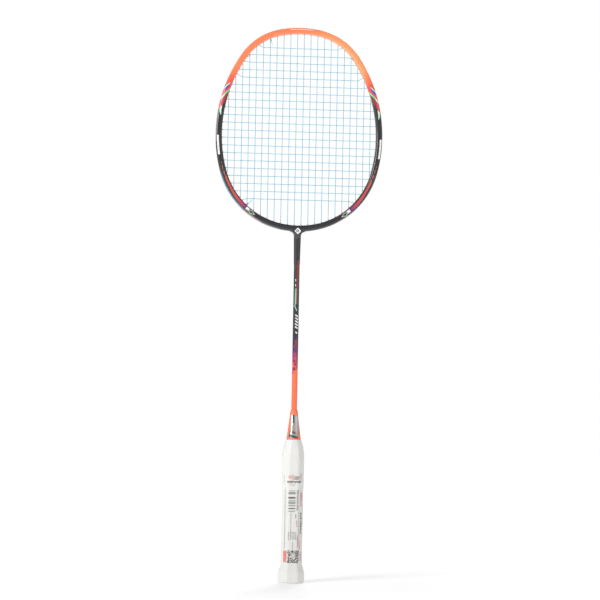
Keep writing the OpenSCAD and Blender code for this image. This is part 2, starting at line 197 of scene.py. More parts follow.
def length_from_crown(u):
    """Distance along the outer outline from the crown down to the place u."""
    t, _ = right_side(u)
    return sum(r * math.radians(max(0.0, b - max(a, t))) for _, _, r, a, b in ARCS)


def heading_at(value, index, off, reach=1):
    """Heading on the right half where x (index 0) or z (index 1) has that value."""
    for arc in ARCS:
        share = (value - arc[index]) / (arc[2] - off)
        if abs(share) <= 1:
            t = math.degrees(math.asin(share))
            if index == 0:
                t = reach * (90 - t)
            if covers(arc, t):
                return t
    raise ValueError(f"the outline never reaches {value}")


def level(z):
    """Distance along the outline from the crown to the level z on the side of the head."""
    return length_from_crown(heading_at(z, 1, 0.0))


# ---- Where the strings meet the hoop, as in the CAD model ----
STRING_D = 0.68
MAINS = 22
MAIN_PITCH = 8.3
CROSSES = 21
CROSS_PITCH = 9.26
TOP_CROSS_Z = 649.6
BARREL_D = 2.0
BORE_D = 1.2
TIE_BARREL_D = 2.4
TIE_BORE_D = 1.6
FLANGE_D = 3.4
FLANGE_T = 0.4
HOLE_GAP = 4.2
NOZZLE_OFF = TUBE_W + 0.8
RUN_OFF = GROOVE_DEPTH - FLANGE_T - STRING_D / 2
OVER_OFF = RUN_OFF - STRING_D - 0.04
HOLE_Y = (BORE_D - STRING_D) / 2 - 0.02
TIE_Y = (TIE_BORE_D - STRING_D) / 2 - 0.02
RUN_Y = 0.82
TIE_TOP = 6
TIE_BASE = 3


def main_x(m):
    return (m - (MAINS - 1) / 2) * MAIN_PITCH


def cross_z(k):
    return TOP_CROSS_Z - k * CROSS_PITCH


def mirrored(side, t):
    return t if side > 0 else 180 - t


def main_u(m, reach):
    """Hole of main m, at the top for reach 1 and at the bottom for reach -1."""
    return mirrored(main_x(m), heading_at(abs(main_x(m)), 0, NOZZLE_OFF, reach))


MAIN_PLACES = [right_side(main_u(m, reach))[0] for m in range(MAINS // 2, MAINS) for reach in (1, -1)]


def cross_u(k, side):
    """Hole of cross k on one side, moved along the hoop until it is clear of the mains' holes."""
    t = heading_at(cross_z(k), 1, NOZZLE_OFF)
    step = math.degrees(HOLE_GAP / (arc_at(t)[2] - TUBE_W))
    near = [m for m in MAIN_PLACES if abs(t - m) < step]
    if near:
        t = near[0] + (-step if t < near[0] else step)
    return mirrored(side, t)


TIES = ([main_u(m, 1) for m in (TIE_TOP, MAINS - 1 - TIE_TOP)]
        + [main_u(m, -1) for m in (TIE_BASE, MAINS - 1 - TIE_BASE)])
HOLES = ([main_u(m, reach) for m in range(MAINS) for reach in (1, -1)]
         + [cross_u(k, side) for k in range(CROSSES) for side in (1, -1)])


def is_tie(u):
    return any(abs(u - t) < 0.01 for t in TIES)


def hole_y(u):
    return TIE_Y if is_tie(u) else HOLE_Y


# ---- Materials: one Principled shader each, with layers of colour painted over a base ----
class Field:
    """A number that varies over a surface: a socket of its paint's nodes, with arithmetic."""
    def __init__(self, paint, socket):
        self.paint = paint
        self.socket = socket

    def join(self, operation, a, b=0.0):
        node = self.paint.add("Math", {0: a, 1: b}, operation=operation)
        return Field(self.paint, node.outputs[0])

    def __add__(self, other):
        return self.join("ADD", self, other)

    def __radd__(self, other):
        return self.join("ADD", other, self)

    def __sub__(self, other):
        return self.join("SUBTRACT", self, other)

    def __rsub__(self, other):
        return self.join("SUBTRACT", other, self)

    def __mul__(self, other):
        return self.join("MULTIPLY", self, other)

    def __abs__(self):
        return self.join("ABSOLUTE", self)

    def fract(self):
        return self.join("FRACT", self)

    def root(self):
        return self.join("SQRT", self)

    def either(self, other):
        return self.join("MAXIMUM", self, other)

    def mapped(self, low, high, to_low, to_high, curve="LINEAR"):
        node = self.paint.add("MapRange", {0: self, 1: low, 2: high, 3: to_low, 4: to_high},
                              interpolation_type=curve)
        return Field(self.paint, node.outputs[0])

    def rise(self, low, high):
        """0 at low and 1 at high, smoothly; low may be the larger one."""
        return self.mapped(low, high, 0.0, 1.0, "SMOOTHSTEP")

    def above(self, edge, soft=0.12):
        """1 past the edge, which is a number or another field."""
        return (self - edge).rise(-soft, soft)

    def below(self, edge, soft=0.12):
        return 1 - self.above(edge, soft)

    def band(self, low, high, soft=0.12):
        return self.above(low, soft) * self.below(high, soft)


class Paint:
    def __init__(self, name, colour, **values):
        self.material = bpy.data.materials.new(name)
        self.material.use_nodes = True
        self.tree = self.material.node_tree
        self.shader = self.tree.nodes["Principled BSDF"]
        self.colour = colour
        self.set(**values)

    def set(self, **values):
        """Sets the shader's own sockets, spaces in their names written as underscores."""
        for name, value in values.items():
            self.put(self.shader.inputs[name.replace("_", " ")], value)

    def put(self, socket, value):
        if isinstance(value, Field):
            value = value.socket
        if isinstance(value, bpy.types.NodeSocket):
            self.tree.links.new(value, socket)
        elif isinstance(value, tuple) and len(value) == 3 and socket.type == "RGBA":
            socket.default_value = (*value, 1.0)
        else:
            socket.default_value = value

    def add(self, kind, inputs=None, **settings):
        node = self.tree.nodes.new("ShaderNode" + kind)
        for key, value in settings.items():
            setattr(node, key, value)
        for key, value in (inputs or {}).items():
            self.put(node.inputs[key], value)
        return node

    def mix(self, factor, a, b):
        return self.add("Mix", {0: factor, 6: a, 7: b}, data_type="RGBA").outputs[2]

    def over(self, mask, colour):
        """Paints colour over what is there, where mask is 1."""
        self.colour = self.mix(mask, self.colour, colour)

    def split(self, vector):
        parts = self.add("SeparateXYZ", {0: vector}).outputs
        return [vector] + [Field(self, part) for part in parts]

    def coordinates(self):
        """The mesh's own coordinates in millimetres, as Shape.piece() stores them, and each."""
        return self.split(self.add("Attribute", attribute_name="lay").outputs["Vector"])

    def place(self):
        """The object's position in millimetres, and its x, y and z."""
        position = self.add("TexCoord").outputs["Object"]
        scaled = self.add("VectorMath", {0: position, 3: 1 / MM}, operation="SCALE")
        return self.split(scaled.outputs[0])

    def stretched(self, vector, factors):
        return self.add("VectorMath", {0: vector, 1: factors}, operation="MULTIPLY").outputs[0]

    def texture(self, kind, vector, output, **inputs):
        return Field(self, self.add("Tex" + kind, {"Vector": vector, **inputs}).outputs[output])

    def blob(self, a, b, at_a, at_b, half_a, half_b, soft=0.25):
        """1 inside an ellipse of the two coordinates."""
        da = (a - at_a) * (1 / half_a)
        db = (b - at_b) * (1 / half_b)
        return (da * da + db * db).root().below(1.0, soft)

    def diamond(self, a, b, at_a, at_b, half_a, half_b):
        """0 at the middle of a diamond of the two coordinates, 1 at its edges and more outside."""
        return abs((a - at_a) * (1 / half_a)) + abs((b - at_b) * (1 / half_b))

    def dots(self, vector, scale, size):
        """Round spots scattered through the vector's space."""
        far = self.texture("Voronoi", vector, "Distance", Scale=scale, Randomness=0.75)
        return far.below(size, size * 0.25)

    def noise(self, vector, scale, detail=3.0):
        return self.texture("Noise", vector, "Fac", Scale=scale, Detail=detail)

    def mottle(self, vector, scale, strength):
        """Varies the colour a little from place to place."""
        amount = self.noise(vector, scale).mapped(0.3, 0.7, 1 - strength, 1 + strength)
        self.colour = self.add("HueSaturation", {"Value": amount, "Color": self.colour}).outputs[0]

    def rough(self, vector, scale, low, high):
        self.set(Roughness=self.noise(vector, scale, 5.0).mapped(0.35, 0.65, low, high))

    def bump(self, height, distance, strength=1.0):
        """Relief of the given height in millimetres."""
        node = self.add("Bump", {"Height": height, "Distance": distance * MM, "Strength": strength})
        normal = self.shader.inputs["Normal"]
        if normal.is_linked:
            self.put(node.inputs["Normal"], normal.links[0].from_socket)
        self.put(normal, node.outputs[0])

    def lacquer(self, vector):
        """Clear coat with a faint orange peel, and dust-sized changes of gloss."""
        self.rough(vector, 0.35, 0.26, 0.38)
        self.bump(self.noise(vector, 1.4, 2.0), 0.012, 0.5)
        self.set(Coat_Weight=0.55, Coat_Roughness=0.07)

    def done(self):
        self.set(Base_Color=self.colour)
        return self.material


ORANGE = (1.0, 0.225, 0.085)
# Lighter, more golden orange: a painted highlight on the right side of the crown.
GOLDEN_HIGHLIGHT = (1.00, 0.34, 0.12)
RED = (0.78, 0.045, 0.045)
MAROON = (0.20, 0.018, 0.022)
BRIGHT_MAROON = (0.36, 0.025, 0.025)
INDIGO = (0.075, 0.03, 0.52)
MINT = (0.13, 0.78, 0.26)
PALE_MINT = (0.50, 0.86, 0.62)
CREAM = (0.86, 0.83, 0.66)
WHITE = (0.88, 0.88, 0.87)
BLACK = (0.013, 0.014, 0.018)
DARK_GREEN = (0.012, 0.06, 0.035)
LILAC = (0.34, 0.23, 0.27)
TEAL = (0.03, 0.17, 0.26)
GREY_PINK = (0.30, 0.20, 0.22)
DARK_GREY = (0.12, 0.12, 0.125)


class HoopPaint(Paint):
    """Decoration of the hoop. s runs along the outline from the crown, off inwards from it, and
    the levels are heights on the side of the head."""
    def __init__(self):
        super().__init__("frame_paint", BLACK)
        self.vector, self.s, self.off, self.y = self.coordinates()
        across = self.off - TUBE_W / 2
        self.slant = self.s + across * 2.0
        self.counter_slant = self.s + across * -2.0

    def between(self, top, foot, soft=0.12, along=None):
        return (along or self.s).band(level(top), level(foot), soft)

    def fade(self, top, foot):
        return self.s.rise(level(top), level(foot))

    def lower_design(self):
        """Coral wedge that turns purple, a light patch and a gem, from the label to the T-joint."""
        on_face = self.off.band(0.9, 6.6, 0.25)
        inner_edge = 3.7 + self.fade(507.5, 482) * 1.9
        outer_edge = 3.1 + self.fade(480, 458) * -0.8
        inside = self.off.above(outer_edge) * self.off.below(inner_edge)
        body = inside * self.between(507.5, 446.5)
        warm = (0.50, 0.125, 0.08)
        for top, foot, colour in ((498, 472, (0.62, 0.07, 0.07)), (463, 456, (0.52, 0.04, 0.13)),
                                  (456, 450, (0.20, 0.035, 0.19))):
            warm = self.mix(self.fade(top, foot), warm, colour)
        self.over(body * on_face, warm)
        hatch = (self.slant * (1 / 7.5)).fract().band(0.0, 0.30, 0.03)
        self.over(hatch * self.between(506.5, 486, 1.0) * on_face, BLACK)
        spot = self.blob(self.s, self.off, level(451), 3.6, 1.0, 1.0)
        self.over(body * spot * on_face, (0.09, 0.035, 0.24))
        self.over(self.between(450, 447) * self.off.band(2.6, 5.8) * on_face, WHITE)
        gem = self.diamond(self.s, self.off, level(444.6), 3.7, 6.0, 2.6)
        self.over(gem.below(1.0, 0.08) * on_face, (0.42, 0.56, 0.45))
        self.over(gem.below(0.66, 0.08) * on_face, DARK_GREEN)
        self.over(gem.below(0.5, 0.1) * self.dots(self.vector, 0.7, 0.2) * on_face, MINT)
        edges = self.off.band(0.7, 1.05).either(self.off.band(6.35, 6.7))
        self.over(edges * self.between(458, 438), (0.40, 0.08, 0.12))

    def label(self):
        """Plain light label with grey greeking, and the two marks above it."""
        self.over(self.off.band(1.2, 3.4) * self.between(540.5, 516.5), WHITE)
        greek = self.off.band(1.8, 2.8, 0.1) * self.between(537.5, 520)
        self.over(greek * self.noise(self.vector, 0.95, 1.0).above(0.52, 0.02), (0.42, 0.43, 0.45))
        for top, foot, left, right, colour in ((576.5, 568, 0.3, 3.6, CREAM),
                                               (570.5, 565.5, 1.6, 4.0, PALE_MINT)):
            mark = self.between(top, foot, along=self.counter_slant) * self.off.band(left, right)
            self.over(mark, colour)

    def upper_design(self):
        """Dotted maroon, mint stripe, red field with an indigo spot, then the orange crown."""
        speckled = self.mix(self.dots(self.vector, 0.85, 0.33), (0.66, 0.10, 0.10), MAROON)
        speckled = self.mix(self.off.rise(2.4, 5.4), speckled, MAROON)
        self.over(self.slant.below(level(578.5)), speckled)
        red_field = self.mix(self.off.rise(1.0, 6.0), (0.74, 0.10, 0.22), RED)
        self.over(self.slant.below(level(594)), red_field)
        stripe = self.mix(self.off.rise(2.2, 3.4), CREAM, MINT)
        self.over(self.between(594, 590.6, along=self.slant), stripe)
        self.over(self.blob(self.slant, self.off, level(602), 3.1, 3.4, 1.9, 0.35), INDIGO)
        # Painted highlight: the crown's orange turns lighter and more golden towards the right (+x).
        orange = self.mix(self.place()[1].rise(0, 60), ORANGE, GOLDEN_HIGHLIGHT)
        crown = self.mix(self.fade(630, 603), orange, (0.92, 0.09, 0.05))
        inner_half = self.off.rise(4.0, 4.6)
        start = self.slant + inner_half * -6.0
        self.over(start.below(level(607.5), 0.2), crown)
        for top, foot, colour in ((607.5, 606, DARK_GREEN), (606, 603.2, CREAM), (604, 603.2, MINT)):
            self.over((1 - inner_half) * self.between(top, foot, along=self.slant), colour)

    def crown_dashes(self):
        """A row of plain dashes over the crown, front and back."""
        dash = (self.s * (1 / 3.1)).fract().band(0.12, 0.80, 0.06)
        self.over(dash * (self.off.band(1.7, 2.7, 0.1) * self.s.below(13.6)), WHITE)

    def outer_wall(self):
        """Colours beside the string groove, and the groove's shade."""
        wall = self.off.below(0.75, 0.2)
        for top, foot, soft, colour in ((572, 534, 4.0, LILAC), (497, 450, 6.0, TEAL),
                                        (450, 436, 2.0, GREY_PINK), (436, 428.5, 2.0, DARK_GREY)):
            self.over(wall * self.between(top, foot, soft), colour)
        in_groove = self.off.above(0.6, 0.3) * self.off.below(2.05, 0.1)
        self.over(in_groove * abs(self.y).below(1.98, 0.05) * 0.45, (0.01, 0.01, 0.012))


def hoop_paint():
    paint = HoopPaint()
    paint.lower_design()
    paint.label()
    paint.upper_design()
    paint.crown_dashes()
    paint.outer_wall()
    paint.mottle(paint.vector, 0.05, 0.05)
    paint.lacquer(paint.vector)
    return paint.done()


def stripe_maroon(paint, vector):
    """Grained maroon of the stripe that runs up the front of the shaft and the throat."""
    return paint.mix(paint.dots(vector, 0.75, 0.34), MAROON, BRIGHT_MAROON)


def throat_lacquer():
    """Black with the weave of the carbon just showing through, and the top of the shaft's stripe."""
    paint = Paint("throat_paint", BLACK)
    vector, x, y, z = paint.place()
    weave = paint.add("TexWave", {"Vector": vector, "Scale": 0.9, "Distortion": 0.4},
                      bands_direction="DIAGONAL")
    paint.over(Field(paint, weave.outputs["Fac"]).above(0.6, 0.3) * 0.35, (0.030, 0.030, 0.036))
    stripe = x.band(0.1, 3.1, 0.15) * z.below(390.0, 0.6)
    paint.over(stripe * y.below(-1.0, 0.3), stripe_maroon(paint, vector))
    paint.lacquer(vector)
    return paint.done()


def shaft_ground(paint, vector, z, w):
    """Orange at the cone, then rose, purple and black in wavy bands with spots in them."""
    wobble = z + (paint.noise(vector, 0.22, 2.0) - 0.5) * 9.0
    aslant = wobble + w
    left = w.below(-1.0, 0.7)
    right = w.above(1.0, 0.6)
    paint.over(aslant.rise(258, 266), (0.66, 0.05, 0.105))
    for low, high, colour in ((276, 281, (0.17, 0.022, 0.17)), (284, 288, (0.30, 0.03, 0.10)),
                              (289, 293, (0.33, 0.055, 0.045))):
        paint.over(wobble.rise(low, high), colour)
    for low, high, colour in ((266, 272, (0.34, 0.045, 0.20)), (275, 280, (0.03, 0.016, 0.11)),
                              (285, 290, (0.022, 0.010, 0.016))):
        paint.over(left * wobble.rise(low, high), colour)
    paint.over(right * z.rise(254, 266), (0.40, 0.06, 0.05))
    paint.over(right * z.rise(265, 280), (0.075, 0.03, 0.05))
    paint.over((1 - w.band(-5.0, 5.0, 0.8)) * aslant.rise(268, 290), BLACK)
    for at_z, at_w, size, colour in (
            (295.9, -0.3, 1.1, (0.022, 0.012, 0.10)), (286.0, -1.3, 1.0, (0.22, 0.018, 0.035)),
            (280.4, -0.3, 1.2, (0.16, 0.018, 0.15)), (274.9, -1.8, 1.0, (0.24, 0.018, 0.11)),
            (268.2, -1.9, 1.1, (0.26, 0.012, 0.035)), (264.2, -0.7, 0.9, (0.20, 0.03, 0.16)),
            (258.6, -1.8, 1.2, (0.24, 0.010, 0.040)), (254.0, -3.6, 0.8, (0.42, 0.03, 0.17))):
        if at_z < 270:
            halo = paint.blob(z, w, at_z, at_w, size * 2.6, size * 2.3, 0.4)
            paint.over(halo * 0.55, (0.62, 0.05, 0.13))
        paint.over(paint.blob(z, w, at_z, at_w, size * 1.8, size * 1.6, 0.15), colour)
    paint.over(z.above(297.5, 1.5), BLACK)


def shaft_marks(paint, vector, z, w):
    """A grained red stripe, a mint one beside it, and plain marks in place of lettering."""
    right_edge = 1.9 + z.rise(350, 385) * 1.1
    across = w.above(-0.5, 0.15) * w.below(right_edge, 0.15)
    paint.over(across * z.band(338, 390, 0.8), stripe_maroon(paint, vector))
    mint = paint.mix(w.rise(-3.1, -1.3), (0.015, 0.10, 0.06), (0.11, 0.31, 0.18))
    beside = w.band(-3.3, -0.6, 0.15) * z.band(336, 356, 0.6)
    paint.over(beside * (0.45 + z.rise(372, 336) * 0.55), mint)
    paint.over(w.band(-1.2, -0.5, 0.15) * z.band(337, 356.5, 0.6), PALE_MINT)
    for at in (360.3, 366.5):
        paint.over(paint.blob(z, w, at, -1.4, 1.4, 0.55), PALE_MINT)
    bend = w + 0.7 + (z - 332.2) * 0.42
    paint.over(bend.band(-0.45, 0.45) * z.band(329, 336, 0.3), PALE_MINT)
    lean = z + w * 0.55
    for low, left_w, right_w in ((322.6, -1.0, 2.4), (319.0, -1.0, 2.4), (315.4, -1.0, 2.4),
                                 (311.8, -1.2, 2.2), (308.2, -1.2, 2.2), (302.0, -0.6, 1.8)):
        paint.over(lean.band(low, low + 1.9) * w.band(left_w, right_w), WHITE)


def shaft_paint():
    paint = Paint("shaft_paint", (1.0, 0.165, 0.062))
    vector, z, w, _ = paint.coordinates()
    shaft_ground(paint, vector, z, w)
    shaft_marks(paint, vector, z, w)
    paint.lacquer(vector)
    return paint.done()


def plain(name, colour, rough, grain, mottle=None, stretch=None, **values):
    """A material with slight changes of gloss (scale, low, high), of relief (scale, detail, height,
    strength) and of colour (scale, amount), stretched along an axis where it has a direction."""
    paint = Paint(name, colour, **values)
    vector = paint.place()[0]
    if mottle:
        paint.mottle(vector, *mottle)
    if stretch:
        vector = paint.stretched(vector, stretch)
    paint.rough(vector, *rough)
    scale, detail, height, strength = grain
    paint.bump(paint.noise(vector, scale, detail), height, strength)
    return paint.done()


def moulded_plastic(name, colour, roughness=0.42):
    return plain(name, colour, (0.6, roughness - 0.07, roughness + 0.07), (2.2, 4.0, 0.02, 0.6),
                 (0.08, 0.04))


def vinyl():
    return plain("finish_vinyl", (0.80, 0.80, 0.785), (0.7, 0.30, 0.42), (0.5, 3.0, 0.05, 0.5),
                 (0.05, 0.02))


def string_nylon():
    """Light blue multifilament with a thin clear sheath."""
    return plain("string_nylon", (0.065, 0.44, 0.62), (1.5, 0.24, 0.38), (3.0, 3.0, 0.012, 0.5),
                 (0.35, 0.10), IOR=1.53, Coat_Weight=0.3)


def metal(name, colour, roughness):
    """Turned or drawn metal, with fine lines round it."""
    return plain(name, colour, (0.8, roughness - 0.08, roughness + 0.10), (1.0, 3.0, 0.01, 0.6),
                 stretch=(0.4, 0.4, 6.0), Metallic=1.0)


def foil():
    """Mirror foil with a painted highlight streak, a dark upright streak, a slanted dark band and small
    plain marks.
    """
    paint = Paint("foil", (0.38, 0.39, 0.39), Metallic=0.55)
    vector, z, off_line, _ = paint.coordinates()
    w = off_line + 1.0
    tilt = z + w * 0.26
    cloud = paint.noise(vector, 0.22, 2.0)
    paint.over(w.band(-1.6, 1.8, 0.8), (0.46, 0.41, 0.37))
    paint.over(cloud.rise(0.5, 0.7) * 0.5, (0.46, 0.50, 0.33))
    paint.over(w.rise(1.6, 3.4) * z.rise(176, 196), (0.60, 0.60, 0.58))
    paint.over(w.band(1.4, 4.4, 0.5) * z.band(184, 192, 2.0) * 0.7, (0.62, 0.48, 0.53))
    # Painted highlight: a pale blue-white streak of reflected light on the left of the foil.
    paint.over(w.band(-3.4, -1.4, 0.4) * z.above(190, 3.0), (0.80, 0.88, 0.98))
    paint.over(w.below(-3.5, 0.25), (0.34, 0.38, 0.44))
    streak = w.band(-1.5, 0.8, 0.35) * z.band(193.5, 203.6, 0.8)
    paint.over(streak, (0.055, 0.12, 0.12))
    paint.over(streak * z.above(201.5, 0.8), (0.03, 0.03, 0.09))
    paint.over(tilt.band(175.2, 178.1, 0.4), (0.085, 0.105, 0.095))
    paint.over(tilt.band(180.6, 182.8, 0.5) * w.band(-2.0, 2.6, 0.4), (0.19, 0.12, 0.12))
    paint.over(paint.blob(z, w, 181.6, -3.2, 1.0, 0.7), (0.78, 0.90, 0.84))
    paint.over(paint.blob(z, w, 181.6, -4.6, 1.1, 0.6), (0.12, 0.04, 0.11))
    brushed = paint.stretched(vector, (0.12, 2.2, 1.0))
    paint.rough(brushed, 1.2, 0.20, 0.36)
    paint.bump(paint.noise(brushed, 0.9, 3.0), 0.02, 0.5)
    return paint.done()


def grip_cover():
    """Soft white polyurethane strip with fine pores and faint scuffs."""
    paint = Paint("grip_pu", (0.79, 0.785, 0.76))
    vector = paint.place()[0]
    paint.mottle(vector, 0.03, 0.025)
    paint.rough(vector, 0.5, 0.50, 0.66)
    pores = paint.texture("Voronoi", vector, "Distance", Scale=1.6)
    paint.bump(pores.rise(0.0, 0.35), 0.03, 0.6)
    paint.bump(paint.noise(vector, 0.25, 4.0), 0.10, 0.5)
    return paint.done()


def clear_film():
    """Clear shrink film: glossy, a little grey, with fine creases."""
    paint = Paint("clear_film", (0.93, 0.94, 0.94), Alpha=0.05, IOR=1.40)
    vector = paint.place()[0]
    paint.rough(vector, 0.4, 0.08, 0.18)
    paint.bump(paint.noise(paint.stretched(vector, (1.0, 1.0, 0.25)), 0.28, 3.0), 0.25, 0.6)
    return paint.done()


def ink_paint(name, colour):
    """Thin ink on the film, worn a little so that the ground shows through."""
    paint = Paint(name, colour)
    vector = paint.place()[0]
    paint.over(paint.noise(vector, 0.9, 4.0).rise(0.45, 0.75) * 0.35, (0.74, 0.74, 0.72))
    paint.rough(vector, 0.6, 0.25, 0.40)
    return paint.done()


def badge_print():
    """White enamel diamond with a plain dark ring."""
    paint = Paint("badge_print", WHITE, Coat_Weight=0.4)
    vector, x, _, z = paint.place()
    dx = x + 0.3
    dz = z - BADGE_Z
    far = (dx * dx + dz * dz).root()
    paint.over(far.band(0.75, 1.75), (0.05, 0.05, 0.06))
    paint.mottle(vector, 0.3, 0.02)
    paint.rough(vector, 1.0, 0.22, 0.34)
    paint.bump(far.band(0.7, 1.8), 0.03, 0.5)
    return paint.done()


def wood():
    """Pale wood with grain along the handle."""
    paint = Paint("handle_wood", (0.60, 0.42, 0.24))
    along = paint.stretched(paint.place()[0], (1.0, 1.0, 0.06))
    rings = paint.texture("Wave", along, "Fac", Scale=0.35, Distortion=5.0, Detail=3.0)
    paint.over(rings * 0.5, (0.40, 0.25, 0.12))
    paint.rough(along, 1.0, 0.55, 0.75)
    paint.bump(rings, 0.05, 0.6)
    return paint.done()


def foam():
    """Closed-cell foam."""
    paint = Paint("foam", (0.78, 0.74, 0.62))
    vector = paint.place()[0]
    cells = paint.texture("Voronoi", vector, "Distance", Scale=1.4)
    paint.over((1 - cells.rise(0.0, 0.5)) * 0.5, (0.55, 0.50, 0.40))
    paint.rough(vector, 1.0, 0.75, 0.95)
    paint.bump(cells, 0.12, 0.8)
    return paint.done()


# ---- Meshes ----
class Shape:
    """Points, faces and own coordinates, gathered from several surfaces."""
    def __init__(self):
        self.verts = []
        self.faces = []
        self.lay = []

    def rings(self, rings, lay=None, closed=False, caps=False):
        """A surface through rings of equally many points; closed joins the last to the first."""
        base = len(self.verts)
        n = len(rings[0])
        count = len(rings)
        for i, ring in enumerate(rings):
            self.verts += ring
            self.lay += lay[i] if lay else [(0.0, 0.0, 0.0)] * n
        for i in range(count if closed else count - 1):
            j = (i + 1) % count
            for k in range(n):
                a = base + i * n
                b = base + j * n
                self.faces.append((a + k, a + (k + 1) % n, b + (k + 1) % n, b + k))
        if caps:
            self.faces.append(tuple(base + k for k in range(n)))
            self.faces.append(tuple(base + (count - 1) * n + k for k in range(n)))

    def sheet(self, rows, lay=None):
        """An open surface through rows of equally many points."""
        base = len(self.verts)
        n = len(rows[0])
        for i, row in enumerate(rows):
            self.verts += row
            self.lay += lay[i] if lay else [(0.0, 0.0, 0.0)] * n
        for i in range(len(rows) - 1):
            for k in range(n - 1):
                a = base + i * n + k
                self.faces.append((a, a + 1, a + n + 1, a + n))

    def tube(self, path, radius, sides=8):
        """A round tube along path with closed ends, its rings turned as little as possible."""
        rings = []
        side = None
        for i, p in enumerate(path):
            t = (path[min(i + 1, len(path) - 1)] - path[max(i - 1, 0)]).normalized()
            if side is None:
                side = t.orthogonal().normalized()
            side = (side - side.dot(t) * t).normalized()
            up = t.cross(side)
            rings.append(circle(p, radius, side, up, sides))
        self.rings(rings, caps=True)

    def turned(self, profile, origin, axis, aside, segments=16):
        """A closed profile of (radius, height) points turned about an axis through origin."""
        across = axis.cross(aside)
        self.rings([circle(origin + h * axis, r, aside, across, segments) for r, h in profile],
                   closed=True)

    def piece(self, name, material, slot, nodes=(), sharp=50.0):
        """Makes the piece of the racket, in metres, that stands for the CAD nodes."""
        mesh = bpy.data.meshes.new(name)
        mesh.from_pydata([Vector(v) * MM for v in self.verts], [], self.faces)
        layer = mesh.attributes.new("lay", "FLOAT_VECTOR", "POINT")
        layer.data.foreach_set("vector", [c for v in self.lay for c in v])
        shape = bmesh.new()
        shape.from_mesh(mesh)
        bmesh.ops.recalc_face_normals(shape, faces=shape.faces)
        shape.to_mesh(mesh)
        shape.free()
        mesh.shade_smooth()
        mesh.set_sharp_from_angle(angle=math.radians(sharp))
        mesh.materials.append(material)
        piece = new_object(name, mesh)
        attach(piece, "root")
        if nodes:
            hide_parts(*nodes)
        return piece


# ---- Hoop ----
def hoop_section():
    """Points (off, y) round the tube, from the middle of the groove's floor and back."""
    lip = 0.45
    half = [(GROOVE_DEPTH, 0.0), (GROOVE_DEPTH, 0.9), (GROOVE_DEPTH, GROOVE_HALF - 0.35),
            (GROOVE_DEPTH - 0.1, GROOVE_HALF - 0.1), (GROOVE_DEPTH - 0.35, GROOVE_HALF)]
    half += [(lip * (1 - sin(a)), GROOVE_HALF + lip * (1 - cos(a))) for a in (0, 30, 60, 90)]
    flat = TUBE_HALF_D - TUBE_CORNER
    half += [(TUBE_CORNER * (1 - cos(a)), flat + TUBE_CORNER * sin(a)) for a in range(0, 91, 15)]
    half += [(TUBE_W / 2, TUBE_HALF_D)]
    half += [(TUBE_W - TUBE_CORNER * (1 - sin(a)), flat + TUBE_CORNER * cos(a))
             for a in range(0, 91, 15)]
    half += [(TUBE_W, 1.2), (TUBE_W, 0.0)]
    return half + [(off, -y) for off, y in half[-2:0:-1]]


def add_hoop():
    section = hoop_section()
    places = [-90 + 0.75 * i for i in range(480)]
    shape = Shape()
    shape.rings([[hoop_point(u, off, y) for off, y in section] for u in places],
                [[(length_from_crown(u), off, y) for off, y in section] for u in places], closed=True)
    shape.piece("hoop", hoop_paint(), "frame_paint", ["head_frame"])


# ---- Grommets ----
def grommet_profile(barrel, bore):
    """(radius, height) from the nozzle's inner lip, out to the flange in the groove, and back."""
    outer = barrel / 2
    inner = bore / 2
    seat = NOZZLE_OFF - GROOVE_DEPTH
    flange = FLANGE_D / 2
    return [(inner, 0.14), (inner + 0.07, 0.02), (outer - 0.12, 0.0), (outer - 0.02, 0.08),
            (outer, 0.22), (outer, seat - 0.5), (outer, seat - 0.02), (flange - 0.05, seat + 0.02),
            (flange, seat + 0.12), (flange - 0.1, seat + 0.32), (outer, seat + FLANGE_T),
            (inner + 0.1, seat + FLANGE_T - 0.02), (inner, seat + FLANGE_T - 0.14), (inner, seat / 2)]


def add_grommets(name, places, barrel, bore, material):
    shape = Shape()
    for u in places:
        shape.turned(grommet_profile(barrel, bore), hoop_point(u, NOZZLE_OFF, 0.0), heading(u), BACK)
    shape.piece(name + "_turned", material, "grommet_nylon", [name], sharp=70)


def add_all_grommets():
    nylon = moulded_plastic("grommet_nylon", (0.55, 0.56, 0.55), 0.45)
    single = [u for u in HOLES if not is_tie(u)]
    for name, middle in (("crown", 90), ("left", 180), ("right", 0), ("base", 270)):
        near = [u for u in single if abs((u - middle + 540) % 360 - 180) < 45]
        add_grommets(name + "_grommets", near, BARREL_D, BORE_D, nylon)
    add_grommets("tie_off_grommets", TIES, TIE_BARREL_D, TIE_BORE_D, nylon)


# ---- Strings: one length, woven over and under ----
WEAVE = STRING_D / 2 + 0.01
RUN_STEP = 3.0
SUB_STEPS = 4
MEET_MARGIN = 1.5
REAL_TURN = 12
BRIDGE = 8
KNOT_R = 0.62
KNOT_LENGTH = 1.5
KNOT_STEPS = 40


def woven(start, end, axis, line, meets, first_sign):
    """From nozzle to nozzle along the axis (0 is x, 2 is z) on the line of the other coordinate.
    The string crosses over and under at each place in meets."""
    other = 2 - axis
    span = sorted(meets, key=lambda m: m * (1 if end[axis] > start[axis] else -1))

    def at(along, y):
        p = Vector((0, y, 0))
        p[axis] = along
        p[other] = line
        return p
    signs = {m: first_sign * (-1) ** i for i, m in enumerate(sorted(meets))}
    path = [start]
    for a, b in zip(span, span[1:]):
        path += [at(a + (b - a) * i / SUB_STEPS, WEAVE * signs[a] * cos(180 * i / SUB_STEPS))
                 for i in range(SUB_STEPS)]
    return path + [at(span[-1], WEAVE * signs[span[-1]]), end]


def main_bed(m, u, v):
    """Main m from hole u to hole v, past every cross that reaches it."""
    start = hoop_point(u, NOZZLE_OFF, hole_y(u))
    end = hoop_point(v, NOZZLE_OFF, hole_y(v))
    low, high = sorted((start.z, end.z))
    met = [k for k in range(CROSSES) if low + MEET_MARGIN < cross_z(k) < high - MEET_MARGIN]
    return woven(start, end, 2, main_x(m), [cross_z(k) for k in met], (-1) ** (m + met[-1]))


